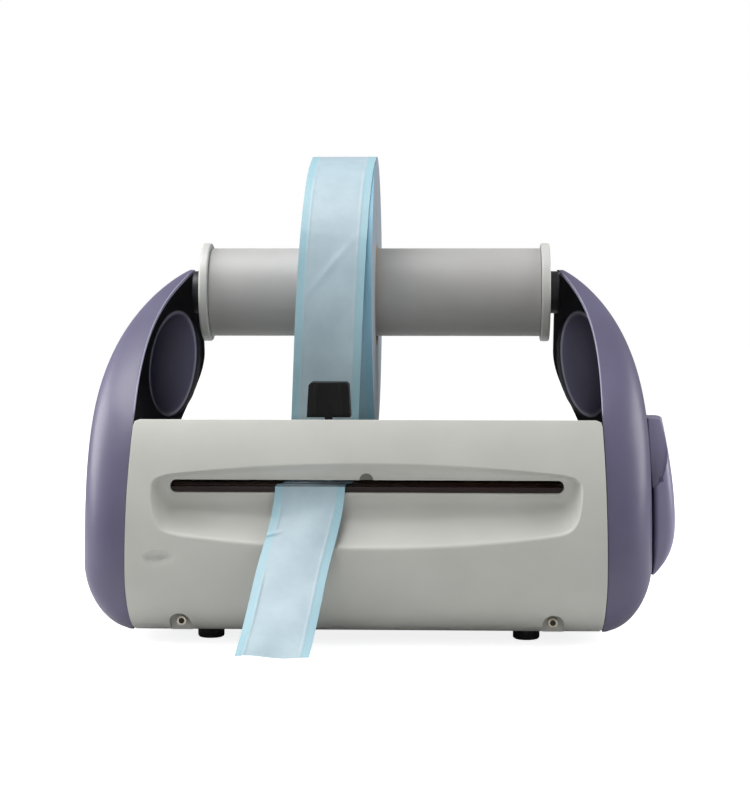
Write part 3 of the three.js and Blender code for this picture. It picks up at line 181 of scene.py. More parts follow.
def clouds_of(size, place, detail=2.0, rough=0.5):
    """What a noise needs for clouds of a size in millimetres."""
    return {"Vector": place, "Scale": 1 / (size * MM), "Detail": detail, "Roughness": rough}


def moulded(name, base, drift, roughness, grain, ior=1.53, coat=0.0):
    made, tree = new_material(name)
    place = add(tree, "ShaderNodeTexCoord").outputs["Object"]
    clouds = add(tree, "ShaderNodeTexNoise", clouds_of(DRIFT_SIZE, place, 3.0))
    polish_and_highlight = add(tree, "ShaderNodeTexNoise", clouds_of(RUB_SIZE, place, 4.0, 0.6))
    grains = add(tree, "ShaderNodeTexNoise", clouds_of(GRAIN_SIZE, place))
    tone = add(tree, "ShaderNodeValToRGB", {"Fac": clouds}, [(0.3, base), (0.72, drift)])
    gloss = {"To Min": roughness - GLOSS_SPREAD, "To Max": roughness + GLOSS_SPREAD}
    relief = {"Strength": grain, "Distance": GRAIN_DEPTH * MM, "Height": grains}
    feeds = {
        "Base Color": tone,
        "Roughness": add(tree, "ShaderNodeMapRange", {"Value": polish_and_highlight, **gloss}),
        "IOR": ior,
        "Coat Weight": coat,
        "Coat Roughness": SOFT_COAT,
        "Normal": add(tree, "ShaderNodeBump", relief),
    }
    finish_with(tree, add(tree, "ShaderNodeBsdfPrincipled", feeds))
    return made


cover_abs = moulded("satin_abs_warm_grey", "#c0c0ba", "#c7c7c1", 0.40, 0.10)
cheek_abs = moulded("satin_abs_violet_grey", "#5d5974", "#64607c", 0.42, 0.08, coat=0.2)
cap_abs = moulded("satin_abs_light_grey", "#c9c9c5", "#d1d1cd", 0.38, 0.06)
tube_pvc = moulded("extruded_pvc_grey", "#b1b0ae", "#b8b7b5", 0.5, 0.05)
black_abs = moulded("satin_abs_black", "#060607", "#0a0a0c", 0.55, 0.10, ior=1.35)
hub_nylon = moulded("nylon_charcoal", "#15151c", "#1b1b23", 0.45, 0.08)
rubber = moulded("matt_black_rubber", "#101011", "#171718", 0.75, 0.25)
# Darker grey for the plate behind the notch: painted shade for the notch's depth.
notch_painted_shade = moulded("matt_abs_notch_painted_shade", "#6f706b", "#787974", 0.55, 0.10)
# The lever's violet is lighter than the cheeks': painted light for the light the lever catches.
lever_abs_painted_light = moulded("satin_abs_violet_lever_painted_light", "#86829f", "#8d89a6", 0.42, 0.08, coat=0.2)
# Near-black for the discs in the cover screws' sockets: painted shade.
socket_painted_shade = moulded("painted_shade_in_socket", "#1a1614", "#221d1a", 0.6, 0.05)
phenolic = moulded("phenolic_dark_brown", "#22110e", "#2c1713", 0.30, 0.10)
print(len(bpy.data.materials), "plastics")

# %% [markdown]
# ## Metals
# The frame inside is zinc-plated sheet and turned or milled steel. What makes a metal read as
# worked is the direction of its fine scratches. An anisotropic shader could fake them, but a
# stretched noise does it with one node and also shows close up. Real scratches are too fine to
# show, so they are drawn at 0.5 mm. Plated sheet is greyer and duller than turned steel, sintered
# bronze is warm and matt, and the copper's windings show as strong lines.

# %% Metal recipe
SCRATCH_SIZE, SCRATCH_DEPTH = 0.5, 0.1
SCRATCH_STRETCH = 0.04
ALONG_X = (SCRATCH_STRETCH, 1, 1)
ALONG_Y = (1, SCRATCH_STRETCH, 1)
ALONG_Z = (1, 1, SCRATCH_STRETCH)


def worked_metal(name, base, drift, roughness, along=ALONG_Y, marks=0.12):
    made, tree = new_material(name)
    place = add(tree, "ShaderNodeTexCoord").outputs["Object"]
    stretched = add(tree, "ShaderNodeMapping", {"Vector": place, "Scale": along})
    lines = add(tree, "ShaderNodeTexNoise", clouds_of(SCRATCH_SIZE, stretched, 3.0))
    clouds = add(tree, "ShaderNodeTexNoise", clouds_of(DRIFT_SIZE, place))
    tone = add(tree, "ShaderNodeValToRGB", {"Fac": clouds}, [(0.3, base), (0.7, drift)])
    gloss = {"Value": lines, "To Min": roughness - 0.08, "To Max": roughness + 0.12}
    relief = {"Strength": marks, "Distance": SCRATCH_DEPTH * MM, "Height": lines}
    feeds = {
        "Base Color": tone,
        "Metallic": 1.0,
        "Roughness": add(tree, "ShaderNodeMapRange", gloss),
        "Normal": add(tree, "ShaderNodeBump", relief),
    }
    finish_with(tree, add(tree, "ShaderNodeBsdfPrincipled", feeds))
    return made


turned_steel = worked_metal("turned_steel", "#b9bbbd", "#a7a9ac", 0.28)
zinc_sheet = worked_metal("zinc_plated_sheet", "#aab0b4", "#969ca1", 0.38, ALONG_Z)
aluminium = worked_metal("milled_aluminium", "#c4c6c8", "#b4b6b9", 0.32, ALONG_X)
screw_steel = worked_metal("zinc_plated_screw", "#d2c8ba", "#b5ab9c", 0.3)
bronze = worked_metal("sintered_bronze", "#a98352", "#8e6b40", 0.45)
copper = worked_metal("lacquered_copper", "#a35f2c", "#7f4720", 0.35, ALONG_Z, 0.4)
print("metals added,", len(bpy.data.materials), "materials now")

# %% [markdown]
# ## Pouch film
# Pouch film is clear plastic sealed to white medical paper: a pale blue-grey sheet with a sheen,
# and a teal band of fine ribs along each edge. The bands could be painted in a picture, but drawn
# by nodes they stay sharp. On a bent sheet the pattern reads the sheet's own UV map, U across the
# film and V along it, in metres. On the reel the place along X gives the same.

# %% Film recipe
FILM_WIDTH = 55.4
BAND_WIDTH, BAND_EDGE, BAND_RIB = 7.0, 1.6, 0.9
FILM_CLOUDS = 24
CRINKLE_SIZE, CRINKLE_STRENGTH, CRINKLE_DEPTH = 5, 0.35, 0.5
FILM_GLOSS, FILM_IOR, FILM_COAT = 0.45, 1.49, 0.2
band_start = (FILM_WIDTH / 2 - BAND_WIDTH) * MM
reel_low, reel_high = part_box("film_reel")
reel_middle = (reel_low.x + reel_high.x) / 2


def across_by_uv(tree, place):
    return add(tree, "ShaderNodeSeparateXYZ", {"Vector": add(tree, "ShaderNodeUVMap")})


def across_by_place(tree, place):
    along_x = add(tree, "ShaderNodeSeparateXYZ", {"Vector": place})
    return add(tree, "ShaderNodeMath", {0: along_x, 1: reel_middle}, operation="SUBTRACT")


def film_finish(name, across, centre, edge, rib_tone):
    """across gives each point's distance from the film's middle line, in metres."""
    made, tree = new_material(name)
    place = add(tree, "ShaderNodeTexCoord").outputs["Object"]
    off = add(tree, "ShaderNodeMath", {0: across(tree, place)}, operation="ABSOLUTE")
    edges = {"Value": off, "From Min": band_start, "From Max": band_start + BAND_EDGE * MM}
    band = add(tree, "ShaderNodeMapRange", edges, interpolation_type="SMOOTHSTEP")
    per_rib = {0: off, 1: 2 * math.pi / (BAND_RIB * MM)}
    ribs = add(tree, "ShaderNodeMath", per_rib, operation="MULTIPLY")
    swing = {"Value": add(tree, "ShaderNodeMath", {0: ribs}, operation="SINE"), "From Min": -1.0}
    wave = add(tree, "ShaderNodeMapRange", swing)
    clouds = add(tree, "ShaderNodeTexNoise", clouds_of(FILM_CLOUDS, place, 3.0, 0.6))
    body = add(tree, "ShaderNodeValToRGB", {"Fac": clouds}, [(0.3, centre), (0.75, rib_tone)])
    teal = add(tree, "ShaderNodeValToRGB", {"Fac": wave}, [(0.0, edge), (1.0, rib_tone)])
    tones = {0: band, MIX_FIRST: body, MIX_SECOND: teal}
    folds = add(tree, "ShaderNodeTexNoise", clouds_of(CRINKLE_SIZE, place, 4.0, 0.6))
    relief = {"Strength": CRINKLE_STRENGTH, "Distance": CRINKLE_DEPTH * MM, "Height": folds}
    feeds = {
        "Base Color": add(tree, "ShaderNodeMix", tones, data_type="RGBA").outputs[MIX_RESULT],
        "Roughness": FILM_GLOSS,
        "IOR": FILM_IOR,
        "Coat Weight": FILM_COAT,
        "Coat Roughness": SOFT_COAT,
        "Normal": add(tree, "ShaderNodeBump", relief),
    }
    finish_with(tree, add(tree, "ShaderNodeBsdfPrincipled", feeds))
    return made


sheet_film = film_finish("pouch_film_sheet", across_by_uv, "#a6bbc6", "#7fbccb", "#b3c8d1")
# The reel's copy is a deeper blue than the sheets': painted shade for the gap under the loose turn.
reel_film_painted_shade = film_finish("pouch_film_on_reel_painted_shade", across_by_place, "#98bccf", "#6cb6d6", "#a6c8d8")
film_edges = moulded("wound_film_edges", "#98a5b0", "#a3afba", 0.5, 0.0)
print("teal bands start at", round(band_start / MM, 1), "mm")

# %% [markdown]
# ## Finishes by slot
# Hidden pieces get what they are made of too: dull brown card, coarse glass cloth under the release
# tape's brown coat, dull red silicone, a board with a smooth green mask, and clear glossy lenses.
# The frame gives each piece a material slot. Assigning finishes one by one would miss a piece, so
# one table reaches them all, and a short one names the pieces that differ from their slot.

# %% Give every piece of the frame its finish
core_card = moulded("wound_card", "#a88a5e", "#9a7c52", 0.8, 0.3)
finishes = {
    "cover_plastic": cover_abs, "cheek_plastic": cheek_abs, "cap_plastic": cap_abs,
    "black_plastic": black_abs, "foot_rubber": rubber, "roller_finish": tube_pvc,
    "bright_steel": turned_steel, "zinc_sheet": zinc_sheet, "bare_aluminium": aluminium,
    "bush_bronze": bronze, "copper_winding": copper, "pouch_film": reel_film_painted_shade,
    "core_card": core_card,
    "release_tape": moulded("glass_cloth_release_tape", "#6b4d2c", "#7a5a36", 0.5, 0.25),
    "pad_silicone": moulded("silicone_rubber_red", "#8a2f24", "#97392c", 0.6, 0.05),
    "circuit_board": moulded("solder_masked_board", "#1f4a35", "#275a41", 0.35, 0.03),
    "green_lens": moulded("green_acrylic_lens", "#2f9a4c", "#3aa757", 0.12, 0.0, coat=0.5),
    "amber_lens": moulded("amber_acrylic_lens", "#c9822a", "#d48f35", 0.12, 0.0, coat=0.5),
}
own_finish = dict.fromkeys(("left_hub", "right_hub"), hub_nylon)
own_finish.update(
    dict.fromkeys(("left_cover_screw", "right_cover_screw", "lever_screw"), screw_steel)
)
own_finish["film_table"] = phenolic
slot_of = {part["node"]: part["material_slot"] for part in frame["record"]["subparts"]}
bodies = frame["record"]["behaviour"]["bodies"]
body_of = {node: body for body, names in bodies.items() for node in names}
for name, node in nodes.items():
    node.data.materials.clear()
    node.data.materials.append(own_finish.get(name, finishes[slot_of[name]]))
print(len(bpy.data.materials), "materials on", len(nodes), "pieces")

# %% [markdown]
# ## Making pieces
# Blender's tools work on the selected and active object. These helpers do the clicking, and apply
# each modifier at once, because the export needs plain meshes. Settle ends every piece: it shades
# it, measures how far it stands out of its frame piece, and ties it to that piece's moving body.

# %% Helpers for pieces
dressed = set()


def only(piece):
    for thing in bpy.context.selected_objects:
        thing.select_set(False)
    piece.select_set(True)
    bpy.context.view_layer.objects.active = piece


@contextmanager
def edit_mode(piece):
    only(piece)
    bpy.ops.object.mode_set(mode="EDIT")
    bpy.ops.mesh.select_all(action="SELECT")
    yield
    bpy.ops.object.mode_set(mode="OBJECT")


def apply_modifier(piece, kind, **settings):
    modifier = piece.modifiers.new(kind.title(), kind)
    for name, value in settings.items():
        setattr(modifier, name, value)
    bpy.context.view_layer.objects.active = piece
    bpy.ops.object.modifier_apply(modifier=modifier.name)


def thicken(piece, wall, offset, **settings):
    apply_modifier(piece, "SOLIDIFY", thickness=wall * MM, offset=offset, **settings)


def bevel(piece, width, segments, angle):
    limit = {"limit_method": "ANGLE", "angle_limit": math.radians(angle)}
    apply_modifier(piece, "BEVEL", width=width * MM, segments=segments, **limit)


def settle(piece, node, finish, replaces=True, smooth=35):
    if finish is not None:
        piece.data.materials.clear()
        piece.data.materials.append(finish)
    only(piece)
    bpy.ops.object.shade_smooth_by_angle(angle=math.radians(smooth))
    corners = np.array(piece.bound_box)
    node_low, node_high = (np.array(corner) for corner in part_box(node))
    proud = max(*(node_low - corners.min(0)), *(corners.max(0) - node_high)) / MM
    print(f"{piece.name}: {len(piece.data.polygons)} faces, stands out {proud:.2f} mm")
    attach(piece, body_of[node])
    if replaces:
        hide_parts(node)
        dressed.add(node)


print("piece helpers ready")

# %% [markdown]
# Moulded shells and films are skins: a grid of points laid over a form, as a cloth over a last. A
# function of the shares (u, v) says where each point goes. Pushing points by hand would never meet
# the frame this closely.

# %% Skins
WELD = 0.01


def skin(name, columns, rows, place, joined=False, flipped=False, uv_size=None):
    """A grid whose points go where place(u, v) says, in millimetres on the machine."""
    bpy.ops.mesh.primitive_grid_add(x_subdivisions=columns, y_subdivisions=rows, size=1)
    piece = bpy.context.object
    piece.name = name
    mesh = piece.data
    flat = np.empty(len(mesh.vertices) * 3)
    mesh.vertices.foreach_get("co", flat)
    u, v = flat.reshape(-1, 3)[:, :2].T + 0.5
    if uv_size:
        uv = mesh.uv_layers.active.data
        corners = np.empty(len(uv) * 2)
        uv.foreach_get("uv", corners)
        corners = (corners.reshape(-1, 2) - (0.5, 0)) * uv_size
        uv.foreach_set("uv", corners.ravel())
    mesh.vertices.foreach_set("co", in_frame(place(u, v)).ravel())
    mesh.update()
    with edit_mode(piece):
        if joined:
            bpy.ops.mesh.remove_doubles(threshold=WELD * MM)
        if flipped:
            bpy.ops.mesh.flip_normals()
    return piece


print("points closer than", WELD, "mm are joined")

# %% [markdown]
# Forms are easier to write with a few words of their own. Mix goes from one value to another, eased
# starts and stops softly, rounded follows a quarter of an oval, and soft_max joins two surfaces
# with a fillet.

# %% Words for forms
def mix(a, b, share):
    return a + (b - a) * share


def eased(share):
    return share * share * (3 - 2 * share)


def clamped(values):
    return np.clip(values, 0, 1)


def rounded(share, power, root):
    return clamped(1 - share**power) ** (1 / root)


def soft_max(a, b, blend):
    near = np.clip(blend - np.abs(a - b), 0, None) / blend
    return np.maximum(a, b) + near * near * blend / 4


print("a fillet of 4 lifts a crease by", soft_max(0.0, 0.0, 4.0), "mm")

# %% [markdown]
# ## The front cover
# One moulding, 3 mm thick, bowed forward like the front of a drum. Two arcs set how far each height
# stands back, and the sides draw in towards the top and the foot. A lattice could bend a box like
# this, but only formulas let the scoop, the cheeks and the screw pockets meet the same surface.

# %% The cover's form
WALL = 3.0
COVER_LOW, COVER_TOP = 10.7, 179.0
BULGE_HEIGHT = 62.0
UPPER_RADIUS, LOWER_RADIUS = 203.49, 55.10
BODY_HALF = 189.0
TAPER_TOP, TAPER_LOW = 2.6, 2.0


def cover_face(z):
    rise = np.clip(z, COVER_LOW, COVER_TOP) - BULGE_HEIGHT
    radius = np.where(rise > 0, UPPER_RADIUS, LOWER_RADIUS)
    return radius - np.sqrt(radius**2 - rise**2)


def cover_half(z):
    up = clamped((z - BULGE_HEIGHT) / (COVER_TOP - BULGE_HEIGHT))
    down = clamped((BULGE_HEIGHT - z) / (BULGE_HEIGHT - COVER_LOW))
    return BODY_HALF - TAPER_TOP * up**2 - TAPER_LOW * down**2


print("top edge stands back", round(float(cover_face(COVER_TOP)), 1), "mm")

# %% [markdown]
# The scoop is a bowl with an exit slot. Cut with booleans, its soft lip would be a ragged seam.
# Here the mesh runs in rings around the slot instead. The first rings line the slot, the next ones
# run down the bowl to its mouth, and the last ones spread over the face to the cover's edge.

# %% The scoop's rings
SLOT_MIDDLE, SLOT_HALF, SLOT_RISE, SLOT_DEPTH = 127.0, 156.0, 5.0, 24.0
FLOOR_MARGIN = 1.5
FILM_HEIGHT = 126.8
MOUTH_HALF = 169.4
MOUTH_UP, MOUTH_DOWN = (18.2, 9.2), (45.8, 32.8)
END_POWER = 36.0


def ring_shares(u):
    """From a share round the ring: how far along and across it lies, each from -1 to 1."""
    along = np.cos(2 * np.pi * u)
    across = np.sqrt(clamped(1 - np.abs(along) ** END_POWER))
    return along, np.where(u < 0.5, across, -across)


def slot_ring(along, across, grow):
    x = along * (SLOT_HALF + grow)
    radius = SLOT_RISE + grow
    past = np.clip(np.abs(x) - (SLOT_HALF - SLOT_RISE), 0, radius)
    return x, SLOT_MIDDLE + np.sign(across) * np.sqrt(radius**2 - past**2)


def mouth_ring(along, across):
    up = FILM_HEIGHT + mix(*MOUTH_UP, along**2)
    down = FILM_HEIGHT - mix(*MOUTH_DOWN, along**2)
    return along * MOUTH_HALF, mix(SLOT_MIDDLE, np.where(across > 0, up, down), np.abs(across))


print("mouth", 2 * MOUTH_HALF, "by", MOUTH_UP[0] + MOUTH_DOWN[0], "mm")

# %% [markdown]
# The outermost ring is the cover's own outline, with rounded top corners. Each mesh line finds it
# by halving: it tries a point half way and keeps the half that holds the outline. The cover also
# has a shallow dent at the left, which simply moves the skin's points back.

# %% The cover's edge and dent
TOP_CORNER = 4.0
FAN_HALF, FAR, HALVINGS = 118.0, 400.0, 40
DENT, DENT_HALF, DENT_DEPTH, DENT_POWER = (-162.0, 73.0), (12.5, 5.8), 4.4, 0.6
DENT_FLOOR, DENT_ASIDE, DENT_UP = 0.62, 0.2, 0.34


def cover_edge(x, z):
    """Where a line from the slot through (x, z) meets the cover's outline."""
    start = np.clip(x, -FAN_HALF, FAN_HALF)
    dx, dz = x - start, z - SLOT_MIDDLE
    length = np.hypot(dx, dz)
    dx, dz = dx / length, dz / length
    low, high = np.zeros_like(x), np.full_like(x, FAR)
    for _ in range(HALVINGS):
        reach = (low + high) / 2
        px, pz = start + dx * reach, SLOT_MIDDLE + dz * reach
        corner_x = np.abs(px) - (cover_half(pz) - TOP_CORNER)
        corner_z = pz - (COVER_TOP - TOP_CORNER)
        in_corner = (corner_x > 0) & (corner_z > 0)
        inside = (np.abs(px) < cover_half(pz)) & (pz < COVER_TOP) & (pz > COVER_LOW)
        inside &= ~in_corner | (np.hypot(corner_x, corner_z) < TOP_CORNER)
        low, high = np.where(inside, reach, low), np.where(inside, high, reach)
    return start + dx * low, SLOT_MIDDLE + dz * low


def dent(x, z):
    across, up = (x - DENT[0]) / DENT_HALF[0], (z - DENT[1]) / DENT_HALF[1]
    bowl = clamped(1 - across**2 - up**2) ** DENT_POWER
    return DENT_DEPTH * bowl * (DENT_FLOOR - DENT_ASIDE * across + DENT_UP * up)


print("the dent is", 2 * DENT_HALF[0], "mm wide")

# %% [markdown]
# Each row of the grid is one ring, and its depth behind the face follows a curve: steep near the
# slot, then turning forward. Soft_max joins bowl and face with a small fillet, the lip that
# catches the light in the photograph.

# %% Lay the cover's skin
COLUMNS, SLOT_ROWS, SCOOP_ROWS, FACE_ROWS = 500, 4, 34, 46
SLOT_GROWTH = [0.0, 0.0, 0.25, 0.8]
SLOT_SETBACK = [4.5, 0.8, 0.25, 0.0]
OVERSHOOT = 1.12
BELLY_DEPTH, BELLY_SCALE = 4.2, 27 / 4
HOLLOW_POWER = 2.6
LIP_BLEND = 2.6
NO_HOLLOW = -50.0
cover_rows = SLOT_ROWS + SCOOP_ROWS + FACE_ROWS


def cover_skin(u, v):
    along, across = ring_shares(u)
    row = np.rint(v * cover_rows).astype(int)
    in_slot = row < SLOT_ROWS
    step = np.minimum(row, SLOT_ROWS - 1)
    bowl = clamped((row - SLOT_ROWS) / SCOOP_ROWS) * OVERSHOOT
    spread = clamped((row - SLOT_ROWS - SCOOP_ROWS) / FACE_ROWS)
    sx, sz = slot_ring(along, across, np.choose(step, SLOT_GROWTH))
    fx, fz = slot_ring(along, across, FLOOR_MARGIN)
    mx, mz = mouth_ring(along, across)
    ex, ez = cover_edge(mx, mz)
    x = np.where(in_slot, sx, mix(mix(fx, mx, bowl), ex, spread))
    z = np.where(in_slot, sz, mix(mix(fz, mz, bowl), ez, spread))
    belly = BELLY_DEPTH * BELLY_SCALE * bowl * clamped(1 - bowl) ** 2 * clamped(-across) ** 2
    hollow = SLOT_DEPTH + belly - (SLOT_DEPTH - cover_face(mz)) * bowl**HOLLOW_POWER
    hollow = np.where(spread > 0, NO_HOLLOW, hollow)
    face = soft_max(cover_face(z), hollow, LIP_BLEND) + dent(x, z)
    y = np.where(in_slot, SLOT_DEPTH + np.choose(step, SLOT_SETBACK), face)
    return np.stack([x, y, z], 1)


front_cover = skin("front_cover_shell", COLUMNS, cover_rows, cover_skin, True, True)
print(len(front_cover.data.vertices), "points in the cover's skin")

# %% [markdown]
# Solidify gives the skin its wall inward and Bevel rounds its rim. What is sharp and small is sunk
# with cutters, as a tool maker would: the half-round notch over the slot, a pin mark in the dent,
# and an arch-topped pit for each of the two screws.

# %% Wall and cuts
POCKET_X, POCKET_WIDTH, POCKET_FLOOR, POCKET_DROP = 148.0, 17.0, 33.0, 20.0
SCREW_HEIGHT = 18.3
NOTCH_RADIUS = 5.5
PIN_PLACE, PIN_WIDTH, PIN_LENGTH = (-160.5, 0.6, 73.4), 4.4, 5.0
CUT_MIDDLE, NOTCH_CUT, POCKET_CUT = 15, 30, 60
ROD_SIDES = 64
quarter = math.pi / 2


def cutter_solid(kind, place, size, turn=(quarter, 0, 0)):
    """A rod along Y, unless it is turned, or a box, as large as size says."""
    if kind == "rod":
        bpy.ops.mesh.primitive_cylinder_add(vertices=ROD_SIDES, radius=0.5, depth=1, rotation=turn)
    else:
        bpy.ops.mesh.primitive_cube_add(size=1)
    solid = bpy.context.object
    bpy.ops.object.transform_apply(location=False, rotation=True, scale=False)
    solid.scale = [length * MM for length in size]
    solid.location = at(*place)
    return solid


def cut_away(piece, solid):
    apply_modifier(piece, "BOOLEAN", operation="DIFFERENCE", object=solid, solver="MANIFOLD")
    bpy.data.objects.remove(solid)


thicken(front_cover, WALL, -1)
bevel(front_cover, 0.7, 2, 50)
notch_place, notch_width = (0, CUT_MIDDLE, SLOT_MIDDLE + SLOT_RISE), 2 * NOTCH_RADIUS
cuts = [
    ("rod", PIN_PLACE, (PIN_WIDTH, PIN_LENGTH, PIN_WIDTH)),
    ("rod", notch_place, (notch_width, NOTCH_CUT, notch_width)),
]
for x in (-POCKET_X, POCKET_X):
    below = (x, CUT_MIDDLE, SCREW_HEIGHT - POCKET_DROP / 2)
    arch_size = (POCKET_WIDTH, POCKET_CUT, POCKET_WIDTH)
    cuts.append(("rod", (x, CUT_MIDDLE, SCREW_HEIGHT), arch_size))
    cuts.append(("box", below, (POCKET_WIDTH, POCKET_CUT, POCKET_DROP)))
for cut in cuts:
    cut_away(front_cover, cutter_solid(*cut))
settle(front_cover, "front_cover", cover_abs, smooth=38)

# %% [markdown]
# The notch is a window: a darker half disc shows through it, a thin plate a little way back whose
# darker grey is painted shade for the notch's depth. Painted on the cover it would get no real
# shadow; set back, it also gets a real shadow from the notch's edge.

# %% Half-round notch and its painted shade
NOTCH_PLATE_MARGIN, NOTCH_PLATE_LIFT, NOTCH_PLATE_SETBACK = 0.4, 0.3, 25.6


def notch_plate_skin(u, v):
    turn, reach = math.pi * u, (NOTCH_RADIUS + NOTCH_PLATE_MARGIN) * v
    height = SLOT_MIDDLE + SLOT_RISE + NOTCH_PLATE_LIFT + reach * np.sin(turn)
    return np.stack([reach * np.cos(turn), np.full_like(u, NOTCH_PLATE_SETBACK), height], 1)


mark = skin("notch_shade_plate", 24, 4, notch_plate_skin, joined=True)
thicken(mark, 0.8, 0)
settle(mark, "front_cover", notch_painted_shade, replaces=False)

# %% [markdown]
# Each screw pit has a flat floor for the screw's head, closed below. It is one strip: round the
# arch in one direction, and from the face to the floor and in to its middle in the other.

# %% Screw pockets
POCKET_WALL, POCKET_RIM = 1.2, 0.4
WALL_SHARE = 0.6


def pocket_skin(side):
    def place(u, v):
        half = POCKET_WIDTH / 2
        low = COVER_LOW + POCKET_WALL
        drop = SCREW_HEIGHT - low
        arch = 2 * drop + math.pi * half
        run = u * (arch + 2 * half)
        turn = np.clip((run - drop) / half, 0, math.pi)
        x = np.where(run > arch, half - (run - arch), -half * np.cos(turn))
        z = SCREW_HEIGHT + half * np.sin(turn)
        z = np.where(run < drop, low + run, z)
        z = np.where(run > arch - drop, np.maximum(low + arch - run, low), z)
        shrink = 1 - clamped((v - WALL_SHARE) / (1 - WALL_SHARE))
        y = mix(cover_face(z) + POCKET_RIM, POCKET_FLOOR, clamped(v / WALL_SHARE))
        return np.stack([side * POCKET_X + x * shrink, y, mix(SCREW_HEIGHT, z, shrink)], 1)

    return place


for side, name in SIDES:
    pocket = skin(name + "_screw_pocket", 60, 20, pocket_skin(side), joined=True)
    thicken(pocket, POCKET_WALL, 1)
    settle(pocket, "front_cover", cover_abs, replaces=False)

# %% [markdown]
# ## The cheeks and arms
# Each cheek is a moulded shell, open towards the machine, that rises into an arm. Sculpting one
# would leave its mirror image to chance, so it is lofted: a level section starts at the seam with
# the cover, turns the front corner, runs back and turns in again. Up the arm the sections shrink,
# and their open side becomes the arm's mouth. These formulas give a section's four sides.

# %% The cheek's form
CHEEK_LOW, CHEEK_TOP, CHEEK_HALF, CHEEK_FOOT = 10.0, 297.6, 227.4, 9.4
BULGE_LOW, BULGE_HIGH, FOOT_POWER = 63.5, 82.0, 1.7
TIP_X, TIP_POWER, TIP_ROOT = 160.5, 4.0, 1.27
TIP_REACH = CHEEK_TOP + WALL / 2
MOUTH_X, MOUTH_POWER = 161.0, 4.0
REAR_X, REAR_TURN, REAR_BLEND = 158.5, 130.0, 95.0
SEAM, FRONT_SETBACK, ARM_LEAN = 0.6, 2.0, 0.00721
BACK_HEIGHT, BACK_FOOT, BACK, BACK_TIP = 80, 268, 300, 224
ROLLER = (223.0, 278.0)
HUB_RADIUS = 18.5


def cheek_outer(z):
    low = clamped((BULGE_LOW - z) / (BULGE_LOW - CHEEK_LOW))
    high = clamped((z - BULGE_HIGH) / (TIP_REACH - BULGE_HIGH))
    foot = float(cover_half(COVER_LOW)) + CHEEK_FOOT
    return np.where(
        z < BULGE_LOW,
        mix(foot, CHEEK_HALF, rounded(low, FOOT_POWER, FOOT_POWER)),
        mix(TIP_X, CHEEK_HALF, rounded(high, TIP_POWER, TIP_ROOT)),
    )


def cheek_front(z):
    rise = np.clip(z - COVER_TOP, 0, None)
    slope = (COVER_TOP - BULGE_HEIGHT) / (UPPER_RADIUS - float(cover_face(COVER_TOP)))
    return cover_face(z) + FRONT_SETBACK + slope * rise + ARM_LEAN * rise**2


def cheek_back(z):
    low = rounded(clamped((BACK_HEIGHT - z) / (BACK_HEIGHT - CHEEK_LOW)), 2, 2)
    high = rounded(clamped((z - BACK_HEIGHT) / (TIP_REACH - BACK_HEIGHT)), 2, 2)
    return np.where(z < BACK_HEIGHT, mix(BACK_FOOT, BACK, low), mix(BACK_TIP, BACK, high))


def cheek_mouth(z):
    edge = cover_half(z) + SEAM
    share = clamped((z - COVER_TOP) / (CHEEK_TOP - COVER_TOP))
    return np.where(z < COVER_TOP, edge, mix(MOUTH_X, edge, rounded(share, MOUTH_POWER, 1)))


def cheek_rear_mouth(z):
    turn = eased(clamped((z - REAR_TURN) / REAR_BLEND))
    hub = eased(clamped((z - ROLLER[1]) / (HUB_RADIUS / 2) + 1))
    return mix(mix(BODY_HALF + SEAM, REAR_X, turn), MOUTH_X + SEAM, hub)


print("the cheek stands", round(CHEEK_HALF - BODY_HALF, 1), "mm out from the cover")

# %% [markdown]
# A section is finely sampled and then given points at even steps. The rear wall gets more of them,
# because the hand hold is pressed in there.

# %% A level section
SAMPLES = 700
CORNER_POWER = 12.0
REAR_SHARE, REAR_WEIGHT = 0.85, 2.2


def cheek_level(z, count):
    fine = np.pi * (1 - np.cos(np.linspace(0, np.pi, SAMPLES))) / 2
    side = (1 - np.cos(fine)) / 2
    mouth = mix(cheek_mouth(z), cheek_rear_mouth(z), side)
    front, back = cheek_front(z), cheek_back(z)
    bulge = rounded(np.abs(np.cos(fine)), CORNER_POWER, 2)
    x = mouth + (cheek_outer(z) - mouth) * bulge
    y = (front + back) / 2 - (back - front) / 2 * np.cos(fine)
    steps = np.hypot(np.diff(x), np.diff(y))
    run = np.cumsum(steps * np.where(side[1:] > REAR_SHARE, REAR_WEIGHT, 1.0))
    run = np.concatenate([[0], run])
    want = np.linspace(0, run[-1], count)
    return np.stack([np.interp(want, run, x), np.interp(want, run, y)], 1)


print("a section has", len(cheek_level(SLOT_MIDDLE, 8)), "points when 8 are asked")

# %% [markdown]
# The arm's rear wall carries a leaf-shaped hand hold: an egg pressed in from behind, leaning with
# the wall, which shows from the front as a smooth boss. A boolean would leave a sharp rim, so
# points that would lie inside the egg are pushed onto it.

# %% Hand hold
GRIP_X, GRIP_HEIGHT, GRIP_TILT = 187.0, 212.0, 0.17
GRIP_SIZE = np.array([22.0, 15.0, 52.0])
GRIP_SOFT = 1.2


def grip_axes():
    drop = float(cheek_back(GRIP_HEIGHT - GRIP_SIZE[2]) - cheek_back(GRIP_HEIGHT + GRIP_SIZE[2]))
    lean = math.atan2(drop, 2 * GRIP_SIZE[2])
    up, back, aside, tip = math.cos(lean), math.sin(lean), math.cos(GRIP_TILT), math.sin(GRIP_TILT)
    tilted = Vector((aside, 0, tip)), Vector((0, 1, 0)), Vector((-tip, 0, aside))
    return np.array([Vector((x, y * up - z * back, y * back + z * up)) for x, y, z in tilted])


